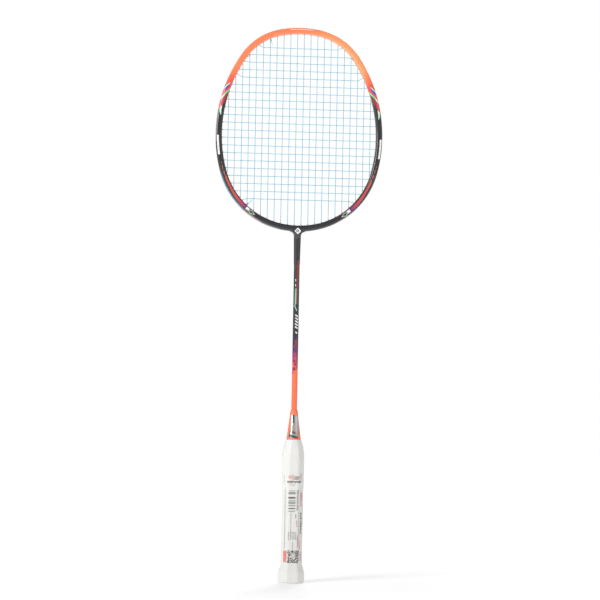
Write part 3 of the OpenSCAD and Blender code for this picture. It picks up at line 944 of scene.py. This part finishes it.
def cross_bed(k, u, v):
    """Cross k from hole u to hole v. Beside a moved hole it first runs into line."""
    start = hoop_point(u, NOZZLE_OFF, -HOLE_Y)
    end = hoop_point(v, NOZZLE_OFF, -HOLE_Y)
    low, high = sorted((start.x, end.x))
    met = [m for m in range(MAINS) if low + MEET_MARGIN < main_x(m) < high - MEET_MARGIN]
    return woven(start, end, 0, cross_z(k), [main_x(m) for m in met], -(-1) ** (k + met[0]))


def groove_run(u, v, off, y, y_from, y_to):
    """Along the groove from hole u to hole v, on the side y of it."""
    steps = max(3, math.ceil(abs(v - u) * math.radians(90) / RUN_STEP))
    return ([hoop_point(u, off, y_from)]
            + [hoop_point(u + (v - u) * i / steps, off, y) for i in range(1, steps)]
            + [hoop_point(v, off, y_to)])


def rounded(path, radius):
    """The path with an arc of points at each real corner."""
    smooth = [path[0]]
    for before, p, after in zip(path, path[1:], path[2:]):
        back = before - p
        ahead = after - p
        turn = 180 - math.degrees(back.angle(ahead, math.pi))
        if turn < REAL_TURN:
            smooth.append(p)
            continue
        cut = min(radius * math.tan(math.radians(turn / 2)), 0.45 * back.length, 0.45 * ahead.length)
        a = p + cut * back.normalized()
        b = p + cut * ahead.normalized()
        smooth += corner_arc(a, p, b, 5)
    return smooth + [path[-1]]


def knot_and_tail(u, y, lean):
    """Turns of string round the standing end at the nozzle, then a short loose tail."""
    inward = -heading(u)
    across = inward.cross(BACK)
    centre = hoop_point(u, NOZZLE_OFF, y / 2)
    turns = [centre + inward * (0.45 + KNOT_LENGTH * i / KNOT_STEPS)
             + KNOT_R * (cos(22.5 * i) * across + sin(22.5 * i) * BACK) for i in range(KNOT_STEPS)]
    away = Vector((lean, 0.25 if y > 0 else -0.25, inward.z)).normalized()
    return [hoop_point(u, RUN_OFF, y), hoop_point(u, NOZZLE_OFF - 0.3, y)] + turns + [
        turns[-1] + 1.2 * away, turns[-1] + 3.6 * away + Vector((0.25, 0, 0)), turns[-1] + 6.0 * away]


def main_string_path():
    first = main_u(0, -1)
    last = main_u(MAINS - 1, -1)
    tie = main_u(TIE_BASE, -1)
    path = knot_and_tail(tie, -TIE_Y, 0.6)[::-1]
    path += groove_run(tie, first, OVER_OFF, RUN_Y, -TIE_Y, HOLE_Y)
    for m in range(MAINS):
        reach = 1 if m % 2 == 0 else -1
        u = main_u(m, -reach)
        v = main_u(m, reach)
        path += main_bed(m, u, v)
        if m < MAINS - 1:
            w = main_u(m + 1, reach)
            path += groove_run(v, w, RUN_OFF, RUN_Y, hole_y(v), hole_y(w))
    return path + [hoop_point(last, OVER_OFF, HOLE_Y), hoop_point(last - BRIDGE / 2, OVER_OFF, RUN_Y),
                   hoop_point(last - BRIDGE, OVER_OFF, RUN_Y)]


def cross_string_path():
    bridge = main_u(MAINS - 1, -1) - BRIDGE
    path = groove_run(bridge, cross_u(CROSSES - 1, 1), OVER_OFF, RUN_Y, RUN_Y, -HOLE_Y)
    for j in range(CROSSES):
        k = CROSSES - 1 - j
        side = 1 if j % 2 == 0 else -1
        v = cross_u(k, -side)
        path += cross_bed(k, cross_u(k, side), v)
        if k:
            path += groove_run(v, cross_u(k - 1, -side), RUN_OFF, -RUN_Y, -HOLE_Y, -HOLE_Y)
    tie = main_u(TIE_TOP, 1)
    path += groove_run(cross_u(0, -1), tie, RUN_OFF, -RUN_Y, -HOLE_Y, -TIE_Y)
    return path + knot_and_tail(tie, -TIE_Y, 0.4)[1:]


def add_strings():
    nylon = string_nylon()
    for name, path in (("main_string", main_string_path()), ("cross_string", cross_string_path())):
        shape = Shape()
        shape.tube(rounded(path, 0.8), STRING_D / 2)
        shape.piece(name + "_woven", nylon, "string_nylon", [name], sharp=80)


# ---- T-joint: stem, fillets and saddle as one moulded skin ----
shaft_low, shaft_high = box_mm("shaft")
SHAFT_R = round(shaft_high.x, 1)
STEM_FOOT = round(box_mm("throat_cover")[0].z, 1)
STEM_R = 4.4
FILLET_R = 4.6
FILLET_FOOT = HEAD_Z - 5.3
SADDLE_HALF = 13.0
SKIN_VOXEL = 0.42


def rounded_ring(z, half_x, half_y, square):
    """Ring between an ellipse (square 2) and a rounded rectangle (square 4 and more)."""
    ring = []
    for k in range(48):
        c = cos(7.5 * k)
        s = sin(7.5 * k)
        ring.append(Vector((math.copysign(abs(c) ** (2 / square), c) * half_x,
                            math.copysign(abs(s) ** (2 / square), s) * half_y, z)))
    return ring


def stem_rings():
    rings = [rounded_ring(STEM_FOOT, SHAFT_R + 0.05, SHAFT_R + 0.05, 2.0)]
    for z in spread(STEM_FOOT + 0.6, FILLET_FOOT, 12):
        r = SHAFT_R + 0.2 + (STEM_R - SHAFT_R - 0.2) * (z - STEM_FOOT) / (FILLET_FOOT - STEM_FOOT)
        widen = ease(z, HEAD_Z - 9, HEAD_Z - 3)
        rings.append(rounded_ring(z, r, r + (TUBE_HALF_D - r) * widen, 2.0 + 0.6 * widen))
    for rise in (0.25, 0.5, 0.7, 0.85, 0.95, 1.0):
        z = FILLET_FOOT + FILLET_R * rise
        wide = STEM_R + FILLET_R * (1 - math.sqrt(1 - rise * rise))
        deep = STEM_R + (TUBE_HALF_D + 0.05 - STEM_R) * ease(z, HEAD_Z - 9, HEAD_Z - 3)
        rings.append(rounded_ring(z, wide, deep, 2.6 + 1.8 * rise))
    rings.append(rounded_ring(HEAD_Z + 3.0, STEM_R + FILLET_R + 0.2, TUBE_HALF_D + 0.05, 5.0))
    return rings


def saddle_rings():
    """Outer half of the tube without its groove, a little proud, along the base of the hoop."""
    proud = 0.12
    half = math.degrees(SADDLE_HALF / ARCS[0][2])
    flat = TUBE_HALF_D - TUBE_CORNER
    corner = TUBE_CORNER + proud
    section = [(TUBE_CORNER - corner * cos(a), flat + corner * sin(a)) for a in range(0, 91, 15)]
    section += [(TUBE_W * 0.55, TUBE_HALF_D + proud)]
    section += [(off, -y) for off, y in section[::-1]]
    rings = []
    for u in spread(-90 - half, -90 + half, 25):
        near_end = clamp((half - abs(u + 90)) / 0.5)
        rings.append([hoop_point(u, off + 0.5 * (1 - near_end), y * (0.94 + 0.06 * near_end))
                      for off, y in section])
    return rings


def add_throat():
    shape = Shape()
    shape.rings(stem_rings(), caps=True)
    shape.rings(saddle_rings(), caps=True)
    skin = shape.piece("throat_skin", throat_lacquer(), "throat_paint", ["throat_cover"])
    remesh = skin.modifiers.new("skin", "REMESH")
    remesh.mode = "VOXEL"
    remesh.voxel_size = SKIN_VOXEL * MM
    remesh.use_smooth_shade = True
    soften = skin.modifiers.new("soften", "SMOOTH")
    soften.factor = 0.5
    soften.iterations = 5
    apply_modifiers(skin)


def apply_modifiers(piece):
    graph = bpy.context.evaluated_depsgraph_get()
    mesh = bpy.data.meshes.new_from_object(piece.evaluated_get(graph))
    mesh.shade_smooth()
    piece.modifiers.clear()
    piece.data = mesh


def add_badge():
    """Diamond plate with rounded corners and a soft edge."""
    low, high = box_mm("throat_badge")
    corner = 1.1
    mid = (high.x - low.x) / 2 - corner * math.sqrt(2)
    y = -TUBE_HALF_D - 0.12
    outline = [(mid * cos(turn) + corner * cos(turn + a), mid * sin(turn) + corner * sin(turn + a))
               for turn in (0, 90, 180, 270) for a in (-45, -22.5, 0, 22.5, 45)]
    shape = Shape()
    shape.rings([[Vector((x * scale, y + back, BADGE_Z + z * scale)) for x, z in outline]
                 for scale, back in ((0.99, 0.3), (1.0, 0.0), (0.985, -0.05), (0.95, -0.07))],
                caps=True)
    shape.piece("badge_plate", badge_print(), "badge_print", ["throat_badge"])


# ---- Shaft and cone ----
cone_low, cone_high = box_mm("cone_cap")
NECK_Z = round(cone_low.z, 1)
NECK_R = round(cone_high.x, 1)
CONE_TOP_Z = round(cone_high.z, 1) - 2.0
CONE_TOP_R = 4.5
LATHE_SEGMENTS = 64
STICKER_FOOT = 174.6
STICKER_TOP = 203.5


def turned_to(angle, r, z):
    """Place at radius r and the angle from the front."""
    return Vector((r * sin(angle), -r * cos(angle), z))


def lathe(name, profile, material, slot, nodes):
    """Turns (radius, z) points about the racket's axis; lay is height and way round the front."""
    rings = []
    lay = []
    for r, z in profile:
        angles = [360 * k / LATHE_SEGMENTS for k in range(LATHE_SEGMENTS)]
        rings.append([turned_to(a, r, z) for a in angles])
        lay.append([(z, math.radians(a if a <= 180 else a - 360) * r, 0.0) for a in angles])
    shape = Shape()
    shape.rings(rings, lay, caps=True)
    return shape.piece(name, material, slot, nodes)


def add_shaft():
    z_low, z_high = shaft_low.z, shaft_high.z
    profile = [(SHAFT_R - 0.4, z_low), (SHAFT_R, z_low + 0.4)]
    profile += [(SHAFT_R, z) for z in spread(z_low + 4, z_high - 4, 90)]
    profile += [(SHAFT_R, z_high - 0.4), (SHAFT_R - 0.4, z_high)]
    lathe("shaft_tube", profile, shaft_paint(), "shaft_paint", ["shaft"])


def cone_radius(z):
    share = (z - NECK_Z) / (CONE_TOP_Z - NECK_Z)
    return NECK_R + (CONE_TOP_R - NECK_R) * share - 0.12 * math.sin(math.pi * clamp(share))


def add_cone():
    profile = [(NECK_R - 0.5, NECK_Z + 0.02), (NECK_R - 0.12, NECK_Z + 0.1), (NECK_R, NECK_Z + 0.5)]
    profile += [(cone_radius(z), z) for z in spread(NECK_Z + 1.2, CONE_TOP_Z - 0.5, 26)]
    profile += [(CONE_TOP_R - 0.08, CONE_TOP_Z), (CONE_TOP_R - 0.3, CONE_TOP_Z + 0.5),
                (SHAFT_R + 0.35, CONE_TOP_Z + 1.7), (SHAFT_R + 0.1, CONE_TOP_Z + 1.95)]
    plastic = moulded_plastic("cone_plastic", (0.98, 0.205, 0.085), 0.36)
    lathe("cone", profile, plastic, "cone_plastic", ["cone_cap"])


def add_sticker():
    """Foil on the front of the cone: narrow and wrapped to the right at the top, wide at the foot."""
    shape = Shape()
    rows = []
    lay = []
    for share in spread(0.0, 1.0, 44):
        row = []
        marks = []
        for across in spread(0.0, 1.0, 32):
            z = STICKER_FOOT + share * (STICKER_TOP - 1.7 * across - STICKER_FOOT)
            left = -53.0 + 9.0 * ease(z, 179.0, 185.0) - 7.0 * ease(z, 194.0, 203.0)
            right = 32.0 + 26.0 * ease(z, 175.0, 190.0)
            a = left + (right - left) * across
            r = cone_radius(z) + 0.13 + 0.03 * noise(Vector((a * 0.06, z * 0.25, 3.0)))
            edge = 10 * min(across, 1 - across, share, 1 - share)
            r -= 0.10 * (1 - clamp(edge / 0.3))
            row.append(turned_to(a, r, z))
            marks.append((z, r * math.radians(a), 0.0))
        rows.append(row)
        lay.append(marks)
    shape.sheet(rows, lay)
    piece = shape.piece("foil_sticker", foil(), "foil", ["cone_sticker"])
    thicken = piece.modifiers.new("thickness", "SOLIDIFY")
    thicken.thickness = 0.06 * MM
    thicken.offset = -1.0
    apply_modifiers(piece)


# ---- Handle ----
grip_low, grip_high = box_mm("grip_tape")
BUTT_HALF = (31.0 / 2, 28.2 / 2)
WAIST_HALF = (25.8 / 2, 23.4 / 2)
TOP_HALF = (26.4 / 2, 24.0 / 2)
BEVEL_SHARE = 0.62
FLARE_LOW = 11.0
FLARE_TOP = 24.0
SHOULDER_Z = 151.0
GRIP_CORNER = 1.6
WRAP_PITCH = 23.0
FOOT_TOP = 3.0
FOOT_TUCK = 1.7


def handle_half(z, i):
    """Half width (i 0) or half depth (i 1) of the grip's surface at level z."""
    if z < FLARE_TOP:
        share = (1 + cos(180 * clamp((z - FLARE_LOW) / (FLARE_TOP - FLARE_LOW)))) / 2
        return WAIST_HALF[i] + (BUTT_HALF[i] - WAIST_HALF[i]) * share
    if z < SHOULDER_Z:
        return WAIST_HALF[i] + (TOP_HALF[i] - WAIST_HALF[i]) * (z - FLARE_TOP) / (SHOULDER_Z - FLARE_TOP)
    share = clamp((z - SHOULDER_Z) / (NECK_Z - SHOULDER_Z))
    return NECK_R + (TOP_HALF[i] - NECK_R) * sin(90 * (1 - share))


def octagon(z, grow):
    """Corners of the octagon round the handle, counterclockwise from the right side's front."""
    a = handle_half(z, 0) + grow
    b = handle_half(z, 1) + grow
    c = BEVEL_SHARE * handle_half(z, 1) + grow * (2 - math.sqrt(2))
    return [(a, c - b), (a, b - c), (a - c, b), (c - a, b), (-a, b - c), (-a, c - b),
            (c - a, -b), (a - c, -b)]


def handle_ring(z, grow, corner=GRIP_CORNER):
    """Dense ring with rounded corners. Each side has the same number of points at every level."""
    corners = [Vector((x, y, z)) for x, y in octagon(z, grow)]
    ring = []
    for i, p in enumerate(corners):
        before = corners[i - 1] - p
        after = corners[(i + 1) % 8] - p
        cut_a = min(corner, 0.45 * before.length)
        cut_b = min(corner, 0.45 * after.length)
        a = p + cut_a * before.normalized()
        b = p + cut_b * after.normalized()
        ring += corner_arc(a, p, b, 6)
        far = corners[(i + 1) % 8] - cut_b * after.normalized()
        ring += [b.lerp(far, t) for t in spread(0.0, 1.0, 8)[1:-1]]
    return ring


def outward(p):
    """Level direction from the racket's axis to p."""
    return Vector((p.x, p.y, 0)).normalized()


def way_round(p):
    """Angle about the racket's axis from the front, positive towards +X."""
    return math.atan2(p.x, -p.y)


def wrap_phase(p):
    """0 at the wrap's free edge and up to 1 across the strip, going up the spiral."""
    return (p.z / WRAP_PITCH - way_round(p) / (2 * math.pi)) % 1.0


def add_grip():
    """The strip's edge stands up a little along the spiral, and the foot is tucked in."""
    levels = [grip_low.z, 0.6, 0.9, 1.3, 1.8, 2.4] + spread(FOOT_TOP, grip_high.z, 190)
    rings = []
    for z in levels:
        tuck = FOOT_TUCK * (1 - math.sqrt(1 - clamp((FOOT_TOP - z) / (FOOT_TOP - grip_low.z)) ** 2))
        ring = []
        for p in handle_ring(z, -tuck):
            phase = wrap_phase(p)
            lift = -0.05 + 0.16 * (1 - phase) * ease(phase, 0.0, 0.02) * (1 - ease(phase, 0.0, 0.35))
            lift += 0.05 * noise(p * 0.12)
            ring.append(p + outward(p) * lift)
        rings.append(ring)
    inner = [handle_ring(z, -1.5 * (1 - 0.8 * clamp((z - SHOULDER_Z) / (NECK_Z - SHOULDER_Z))), 1.0)
             for z in (grip_high.z, SHOULDER_Z, 100.0, 24.0, 11.0, FOOT_TOP)]
    inner.append(handle_ring(grip_low.z + 0.2, -FOOT_TUCK - 0.1))
    shape = Shape()
    shape.rings(rings + inner, closed=True)
    shape.piece("grip_wrap", grip_cover(), "grip_pu", ["grip_tape"], sharp=60)


def add_finish_tape():
    """Vinyl band over the top of the grip, its ends slightly lifted and its edge not quite level."""
    tape_low, tape_high = box_mm("finish_tape")
    shape = Shape()
    outer = []
    for i, share in enumerate([0.0, 0.02] + spread(0.06, 1.0, 14)):
        grow = 0.08 if i == 0 else 0.16
        ring = []
        for p in handle_ring(tape_low.z + (tape_high.z - tape_low.z) * share, grow):
            drop = 0.5 * (1 - share) * sin(math.degrees(way_round(p)) + 40)
            ring.append(p + Vector((0, 0, max(drop, -0.4))) + outward(p) * 0.04 * noise(p * 0.3))
        outer.append(ring)
    inner = [handle_ring(z, -0.4, 1.2) for z in spread(tape_high.z, tape_low.z + 0.6, 4)]
    shape.rings(outer + inner, closed=True)
    shape.piece("finish_band", vinyl(), "finish_vinyl", ["finish_tape"], sharp=60)


def add_butt_plug():
    """Moulded end plate with a rounded rim, a shallow dish and a stub inside the handle."""
    plug_low, plug_high = box_mm("butt_plug")
    shape = Shape()
    steps = [(-2.6, 0.1), (-2.1, 0.0), (-1.95, 0.2), (-1.9, 0.6), (-1.9, 1.3), (-2.4, 1.4)]
    outer = [[Vector((p.x, p.y, plug_low.z + h)) for p in handle_ring(1.0, grow)]
             for grow, h in steps]
    dish = [[Vector((p.x, p.y, 0)) * s + Vector((0, 0, plug_low.z + h))
             for p in handle_ring(1.0, -2.6)] for s, h in ((0.30, 0.45), (0.80, 0.45), (0.86, 0.15))]
    stub = [[Vector((6.0 * s * cos(a), 6.0 * s * sin(a), h)) for a in ring_angles()]
            for s, h in ((1.0, 1.45), (1.0, plug_high.z - 0.6), (0.9, plug_high.z - 0.02))]
    shape.rings(dish + outer + stub, caps=True)
    shape.piece("butt_plate", moulded_plastic("plug_plastic", (0.76, 0.76, 0.74)), "plug_plastic",
                ["butt_plug"])


def ring_angles():
    """Angles that line up with the points of handle_ring()."""
    return [math.degrees(math.atan2(p.y, p.x)) for p in handle_ring(1.0, 0.0)]


# ---- Film and its print ----
film_low, film_high = box_mm("film_sleeve")
PRINT_ASIDE = -1.5
PRINT_RISE = 0.9
BARS_X = (-4.7, 3.8)
MARK_GAP = 0.45


def film_lift(p):
    return 0.17 + 0.07 * noise(Vector((p.x * 0.20, p.y * 0.20, p.z * 0.07))) + 0.05 * noise(p * 0.35)


def add_film():
    """Clear sleeve a little loose on the grip, with a welded seam up the back."""
    rings = []
    for z in spread(film_low.z, film_high.z, 150):
        ring = []
        for p in handle_ring(z, 0.0):
            seam = 0.30 * math.exp(-((p.x - 2.0) / 0.8) ** 2) if p.y > 0 else 0.0
            edge = 0.10 * math.exp(-min(z - film_low.z, film_high.z - z) / 0.6)
            ring.append(p + outward(p) * (film_lift(p) + seam - edge))
        rings.append(ring)
    inner = [[p - outward(p) * 0.05 for p in ring] for ring in rings[::-1]]
    shape = Shape()
    shape.rings(rings + inner, closed=True)
    shape.piece("film", clear_film(), "clear_film", ["film_sleeve"], sharp=80)


def front_point(x, z):
    """Point on the film's front above x, following the flats and bevels."""
    x += PRINT_ASIDE
    z += PRINT_RISE
    ring = handle_ring(z, 0.0)
    for p, q in zip(ring, ring[1:] + ring[:1]):
        if p.y < 0 and q.y < 0 and min(p.x, q.x) <= x <= max(p.x, q.x) and p.x != q.x:
            at = p.lerp(q, (x - p.x) / (q.x - p.x))
            return at + outward(at) * (film_lift(at) + 0.035)
    raise ValueError(f"x {x} is beside the handle at {z}")


class Print(Shape):
    """One colour of the film's print: plain marks that spell and encode nothing."""
    def __init__(self, draw):
        super().__init__()
        self.draw = draw

    def bar(self, x0, x1, z0, z1):
        columns = max(2, math.ceil((x1 - x0) / 0.7) + 1)
        lines = max(2, math.ceil((z1 - z0) / 2.0) + 1)
        self.sheet([[front_point(x, z) for x in spread(x0, x1, columns)]
                    for z in spread(z0, z1, lines)])

    def bars(self, x0, x1, *levels):
        for low, high in levels:
            self.bar(x0, x1, low, high)

    def diamond(self, x, z, half, hole):
        """A diamond outline, or a full diamond where hole is 0."""
        corners = ((0, 1), (1, 0), (0, -1), (-1, 0))
        for (ax, az), (bx, bz) in zip(corners, corners[1:] + corners[:1]):
            rows = []
            for t in spread(0.0, 1.0, 4):
                dx = ax + (bx - ax) * t
                dz = az + (bz - az) * t
                rows.append([front_point(x + dx * r, z + dz * r) for r in (max(hole, 0.02), half)])
            self.sheet(rows)

    def next_mark(self, size, room):
        """Length of the next small mark, and how far its side is set in."""
        return self.draw.uniform(0.5, 1.0) * size, self.draw.uniform(0.0, 0.35) * room

    def column(self, x0, x1, z0, z1, size):
        """Small marks from the top down, like fine print."""
        at = z1
        while at > z0 + size:
            length, inset = self.next_mark(size, x1 - x0)
            self.bar(x0 + inset * self.draw.random(), x1 - inset, at - length, at)
            at -= length + MARK_GAP

    def row(self, x0, x1, z0, z1, size):
        """Small marks from left to right."""
        at = x0
        while at < x1 - size:
            length, inset = self.next_mark(size, z1 - z0)
            self.bar(at, at + length, z0 + inset, z1 - inset * self.draw.random())
            at += length + MARK_GAP

    def mosaic(self, x0, z0, columns, rows, cell):
        """A block of squares at random, round an empty diamond."""
        for i in range(columns):
            for j in range(rows):
                middle = abs(i - (columns - 1) / 2) + abs(j - (rows - 1) / 2)
                if middle > 4.5 and self.draw.random() < 0.56:
                    x = x0 + cell * i
                    z = z0 + cell * j
                    self.bar(x, x + cell * 0.96, z, z + cell * 0.96)


def dark_print(ink):
    ink.row(-6.0, 11.6, 119.8, 122.7, 1.6)
    for z in (123.9, 126.2):
        ink.row(2.4, 8.9, z, z + 1.9, 1.2)
    ink.bars(*BARS_X, (101.2, 103.2), (88.7, 89.9))
    ink.bar(4.2, 4.9, 77.8, 82.6)
    ink.column(10.2, 12.2, 57.0, 84.0, 1.7)
    ink.mosaic(-4.7, 23.7, 18, 20, 0.76)


def grey_print(ink):
    ink.bars(*BARS_X, (106.4, 109.3), (94.9, 97.2), (92.0, 93.5))
    ink.column(5.2, 8.0, 86.0, 111.5, 1.3)
    for x in (-4.4, -2.2, 0.0, 2.2, 4.3):
        ink.column(x, x + 1.3, 50.0, 61.0, 1.6)
    ink.bar(1.2, 1.8, 40.0, 50.0)
    ink.bar(-1.5, -1.0, 59.5, 83.8)


def light_print(ink):
    ink.bars(*BARS_X, (97.9, 99.5), (85.2, 86.8), (110.5, 111.2))
    ink.bar(8.2, 8.6, 45.0, 85.0)
    ink.column(-8.6, -7.4, 41.0, 114.0, 1.1)
    ink.column(-9.9, -9.1, 119.0, 129.0, 1.1)


def pink_print(ink):
    ink.column(9.9, 12.2, 92.0, 109.0, 1.6)
    for z in (68.6, 71.4, 74.0):
        ink.bar(5.3, 6.4, z - 0.9, z + 0.9)
    ink.bar(6.7, 7.5, 42.5, 57.0)
    ink.column(9.2, 10.2, 38.9, 49.8, 1.4)
    ink.column(10.2, 12.2, 25.6, 37.0, 1.8)


def red_print(ink):
    """The rounded bar on the left and the small outlined diamond."""
    middle = -7.35
    widest = 1.65
    for z in spread(24.4, 38.2, 24):
        end = clamp(min(z - 23.7, 38.9 - z) / widest)
        half = widest * math.sqrt(end * (2 - end))
        ink.bar(middle - half, middle - 0.2 * half, z - 0.31, z + 0.31)
        ink.bar(middle + 0.35 * half, middle + half, z - 0.31, z + 0.31)
    ink.column(-7.75, -6.75, 25.0, 37.6, 1.0)
    ink.diamond(-3.0, 127.2, 2.5, 1.55)


def tint_print(ink):
    """Pale tints round the upper marks."""
    ink.diamond(1.8, 31.0, 2.5, 0.0)
    ink.bar(-0.3, 1.7, 123.4, 130.0)
    ink.bar(9.4, 11.4, 123.5, 131.0)
    ink.row(-4.4, 5.0, 116.4, 118.8, 1.8)


def add_print():
    draw = random.Random(7)
    for name, marks, colour in (
            ("print_dark", dark_print, (0.085, 0.085, 0.08)),
            ("print_grey", grey_print, (0.30, 0.30, 0.295)),
            ("print_light", light_print, (0.41, 0.41, 0.40)),
            ("print_pink", pink_print, (0.66, 0.17, 0.25)),
            ("print_red", red_print, (0.80, 0.17, 0.13)),
            ("print_tint", tint_print, (0.72, 0.50, 0.40))):
        layer = Print(draw)
        marks(layer)
        layer.piece(name, ink_paint(name, colour), "clear_film")


# ---- CAD pieces that keep their own mesh ----
def finish_hidden_parts():
    for node, material in (
            ("frame_core", foam()),
            ("t_joint_insert", metal("insert_metal", (0.60, 0.61, 0.62), 0.34)),
            ("handle_core", wood()),
            ("grip_staple", metal("staple_wire", (0.66, 0.66, 0.68), 0.26))):
        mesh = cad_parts[node].data
        if not mesh.materials:
            mesh.materials.append(material)
        for i in range(len(mesh.materials)):
            mesh.materials[i] = material


# ---- Studio ----
def add_floor():
    """Pale floor that glows, more away from the racket, so that it has no visible end."""
    shape = bmesh.new()
    bmesh.ops.create_circle(shape, cap_ends=True, segments=96, radius=4.0)
    mesh = bpy.data.meshes.new("floor")
    shape.to_mesh(mesh)
    shape.free()
    paint = Paint("floor_white", (0.90, 0.90, 0.90), Emission_Color=(1.0, 1.0, 1.0))
    vector, x, y, _ = paint.place()
    away = (x * x + y * y).root()
    # Painted light: the floor glows, weakly near the racket and more strongly towards its edge.
    paint.set(Emission_Strength=0.20 + away.rise(60.0, 900.0) * 0.38)
    paint.rough(vector, 0.01, 0.80, 0.95)
    mesh.materials.append(paint.done())
    floor = new_object("floor", mesh)


def add_world(ambient, backdrop):
    """Soft light from all round; the backdrop itself is plain white."""
    world = bpy.data.worlds.new("studio")
    world.use_nodes = True
    tree = world.node_tree
    tree.nodes.clear()
    mix = tree.nodes.new("ShaderNodeMixShader")
    for slot, strength in ((1, ambient), (2, backdrop)):
        light = tree.nodes.new("ShaderNodeBackground")
        light.inputs["Color"].default_value = (1, 1, 1, 1)
        light.inputs["Strength"].default_value = strength
        tree.links.new(light.outputs[0], mix.inputs[slot])
    seen = tree.nodes.new("ShaderNodeLightPath")
    tree.links.new(seen.outputs["Is Camera Ray"], mix.inputs[0])
    out = tree.nodes.new("ShaderNodeOutputWorld")
    tree.links.new(mix.outputs[0], out.inputs[0])
    bpy.context.scene.world = world


def add_light(name, position, target, size, power):
    light = bpy.data.lights.new(name, "AREA")
    light.shape = "DISK"
    light.size = size
    light.energy = power
    lamp = new_object(name, light)
    lamp.location = position
    lamp.rotation_euler = (Vector(target) - Vector(position)).to_track_quat("-Z", "Y").to_euler()


def light_studio():
    add_world(ambient=0.50, backdrop=1.0)
    middle = (0, 0, 0.36)
    add_light("key", (-1.7, -1.3, 1.1), middle, 0.9, 24.5)
    add_light("fill", (1.6, -1.6, 0.7), middle, 1.4, 3.0)
    add_light("back", (0.5, 1.8, 1.5), middle, 1.2, 16.0)
    bpy.context.scene.view_settings.view_transform = "Standard"


add_hoop()
add_all_grommets()
add_strings()
add_throat()
add_badge()
add_shaft()
add_cone()
add_sticker()
add_grip()
add_finish_tape()
add_butt_plug()
add_film()
add_print()
finish_hidden_parts()
add_floor()
light_studio()
